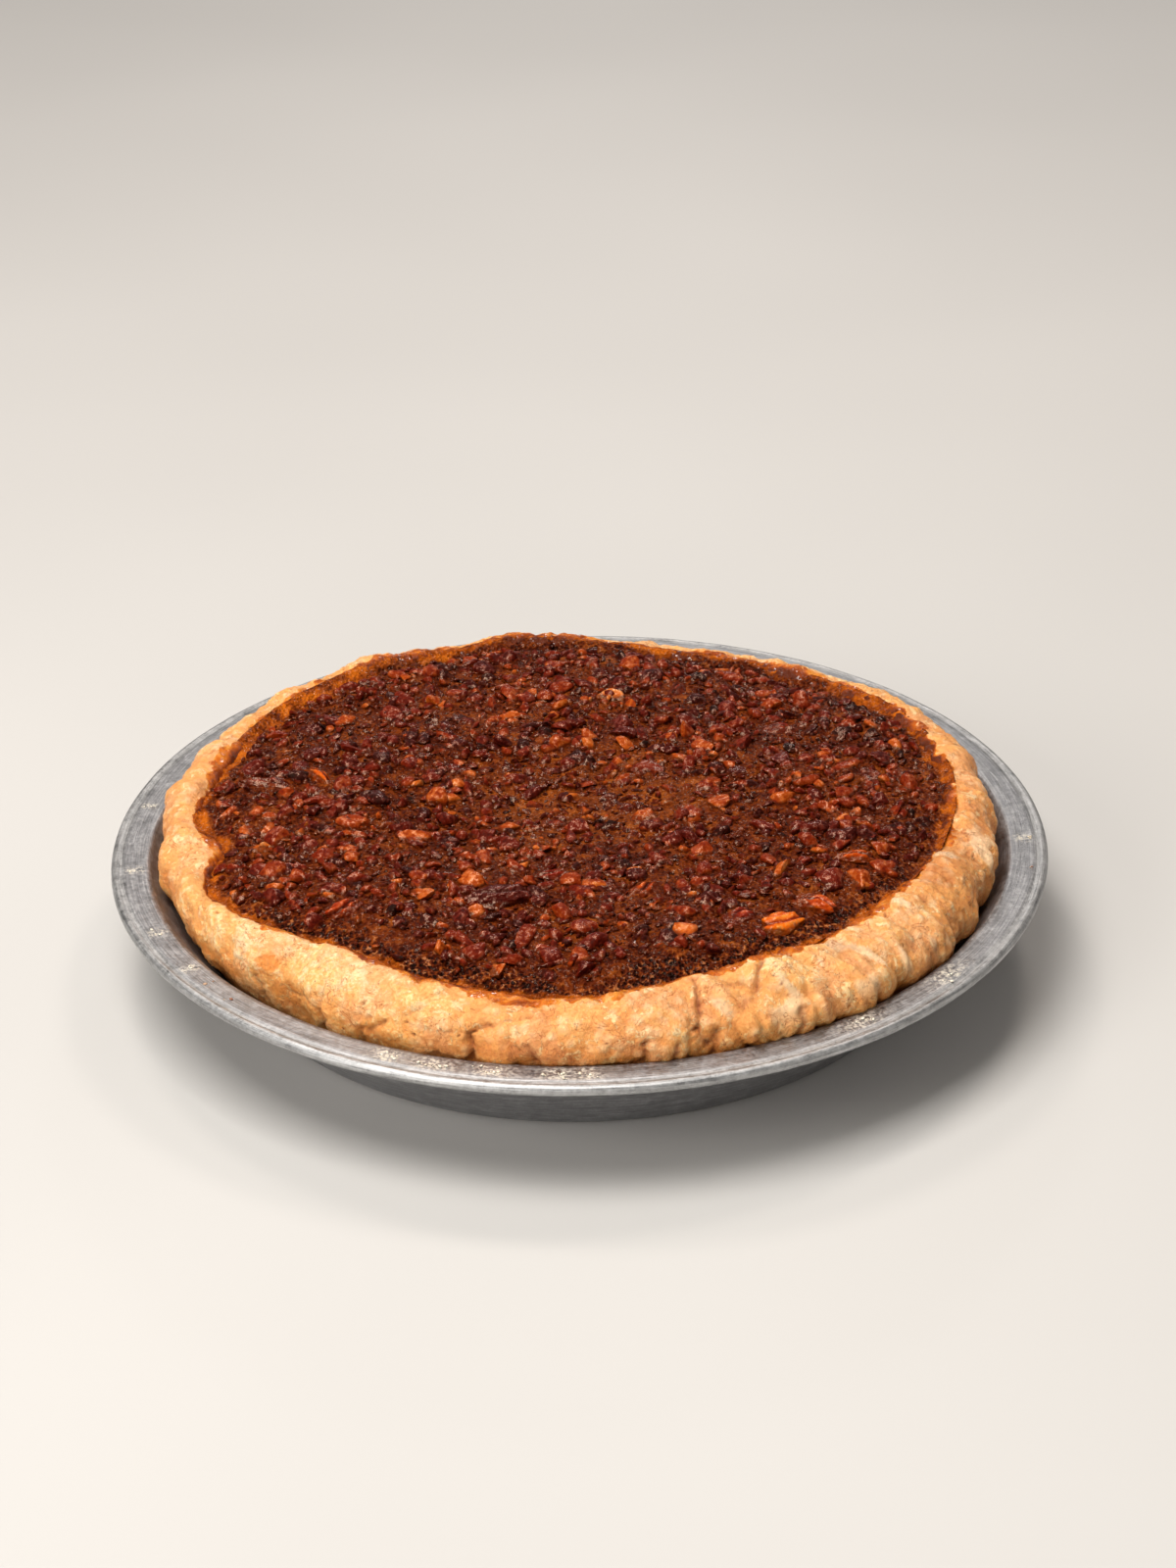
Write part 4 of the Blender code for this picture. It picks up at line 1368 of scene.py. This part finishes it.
def make_tin():
    """The spun tin: a little out of true, with faint ripples and dents in its flat rim."""
    around = compass(stations(TIN_STATIONS))
    rings = [radius * around + (0, 0, height) for radius, height in tin_section()]
    points, faces = closed_rings(rings, (0, 0, 0), (0, 0, PAN_GAUGE))
    lip, _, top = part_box("tin")[1]
    reach = radius_of(points)
    dents = rough_noise(points * np.array([1, 1, 0.2]), 16 * MM, 141, octaves=2)
    points[:, 2] -= smooth(lip - 12 * MM, lip - 6 * MM, reach) * (0.12 + 0.12 * dents) * MM
    dust = np.zeros(len(points))
    for centre, _, spread, _, tone in CRUMB_SPOTS:
        if tone > FLOURY:
            apart = np.abs(past(azimuth_of(points), centre)) * 2.1 * MM
            dust = np.maximum(dust, np.exp(-((apart / (spread * 1.3 * MM)) ** 2)))
    dust *= smooth(lip - 9.5 * MM, lip - 8 * MM, reach) * smooth(lip - 3 * MM, lip - 4.4 * MM, reach)
    dust *= points[:, 2] > top - 1 * MM
    masks = {"dust": dust, "bead": smooth(lip - 3.6 * MM, lip - 2.9 * MM, reach)}
    return make_mesh("tin_spun", points, faces, tin_material(), masks)


def make_crumbs():
    rng = np.random.default_rng(CRUMBS_SEED)
    lip, _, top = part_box("tin")[1]
    template, triangles = ball(1)
    blobs, tones = [], []
    for azimuth, out, spread, count, tone in CRUMB_SPOTS:
        for _ in range(count):
            radius = lip - 8.2 * MM + out * 5.4 * MM + rng.normal(0, 0.9) * MM
            radius = min(max(radius, lip - 8.4 * MM), lip - 3.4 * MM)
            turn = math.radians(azimuth) + rng.normal(0, spread * 0.6) * MM / radius
            size = rng.choice(CRUMB_SIZES) * rng.uniform(0.7, 1.3) * MM
            shape = np.array([size, size * rng.uniform(0.5, 1), size * rng.uniform(0.25, 0.5)])
            blob = chop(template[None], rng, 3, 0.4)[0][0] * shape
            blob = blob @ turned(2, rng.uniform(0, math.pi, 1))[..., 0].T
            place = (radius * math.cos(turn), radius * math.sin(turn), top + 0.1 * size)
            blobs.append(blob + place)
            tones.append(np.full(len(template), tone + rng.normal(0, 0.08)))
    faces = copies(triangles, len(template), len(blobs))
    attributes = {"tone": np.concatenate(tones)}
    return make_mesh("rim_crumbs", np.concatenate(blobs), faces, crumb_material(), attributes)


# ---- Everything together ----


def dress_pie():
    rim_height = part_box("tin")[1].z
    make_camera(rim_height)
    make_studio()
    surface = Surface()
    crust = make_crust(surface, rim_height)
    filling = make_filling(surface)
    tin = make_tin()
    for piece, node in ((crust, "crust"), (filling, "filling"), (tin, "tin")):
        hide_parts(node)
        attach(piece, "root")
    for bits in make_chopped_nuts(surface):
        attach(bits, "root")
    for number, (tone, lift) in enumerate(zip(PECAN_LOOKS, PECAN_LIFTS), 1):
        kernel = make_pecan(surface, f"pecan_{number:02d}", tone, lift, number)
        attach(kernel, "root")
    crumbs = make_crumbs()
    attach(crumbs, "root")


dress_pie()
bpy.context.view_layer.update()
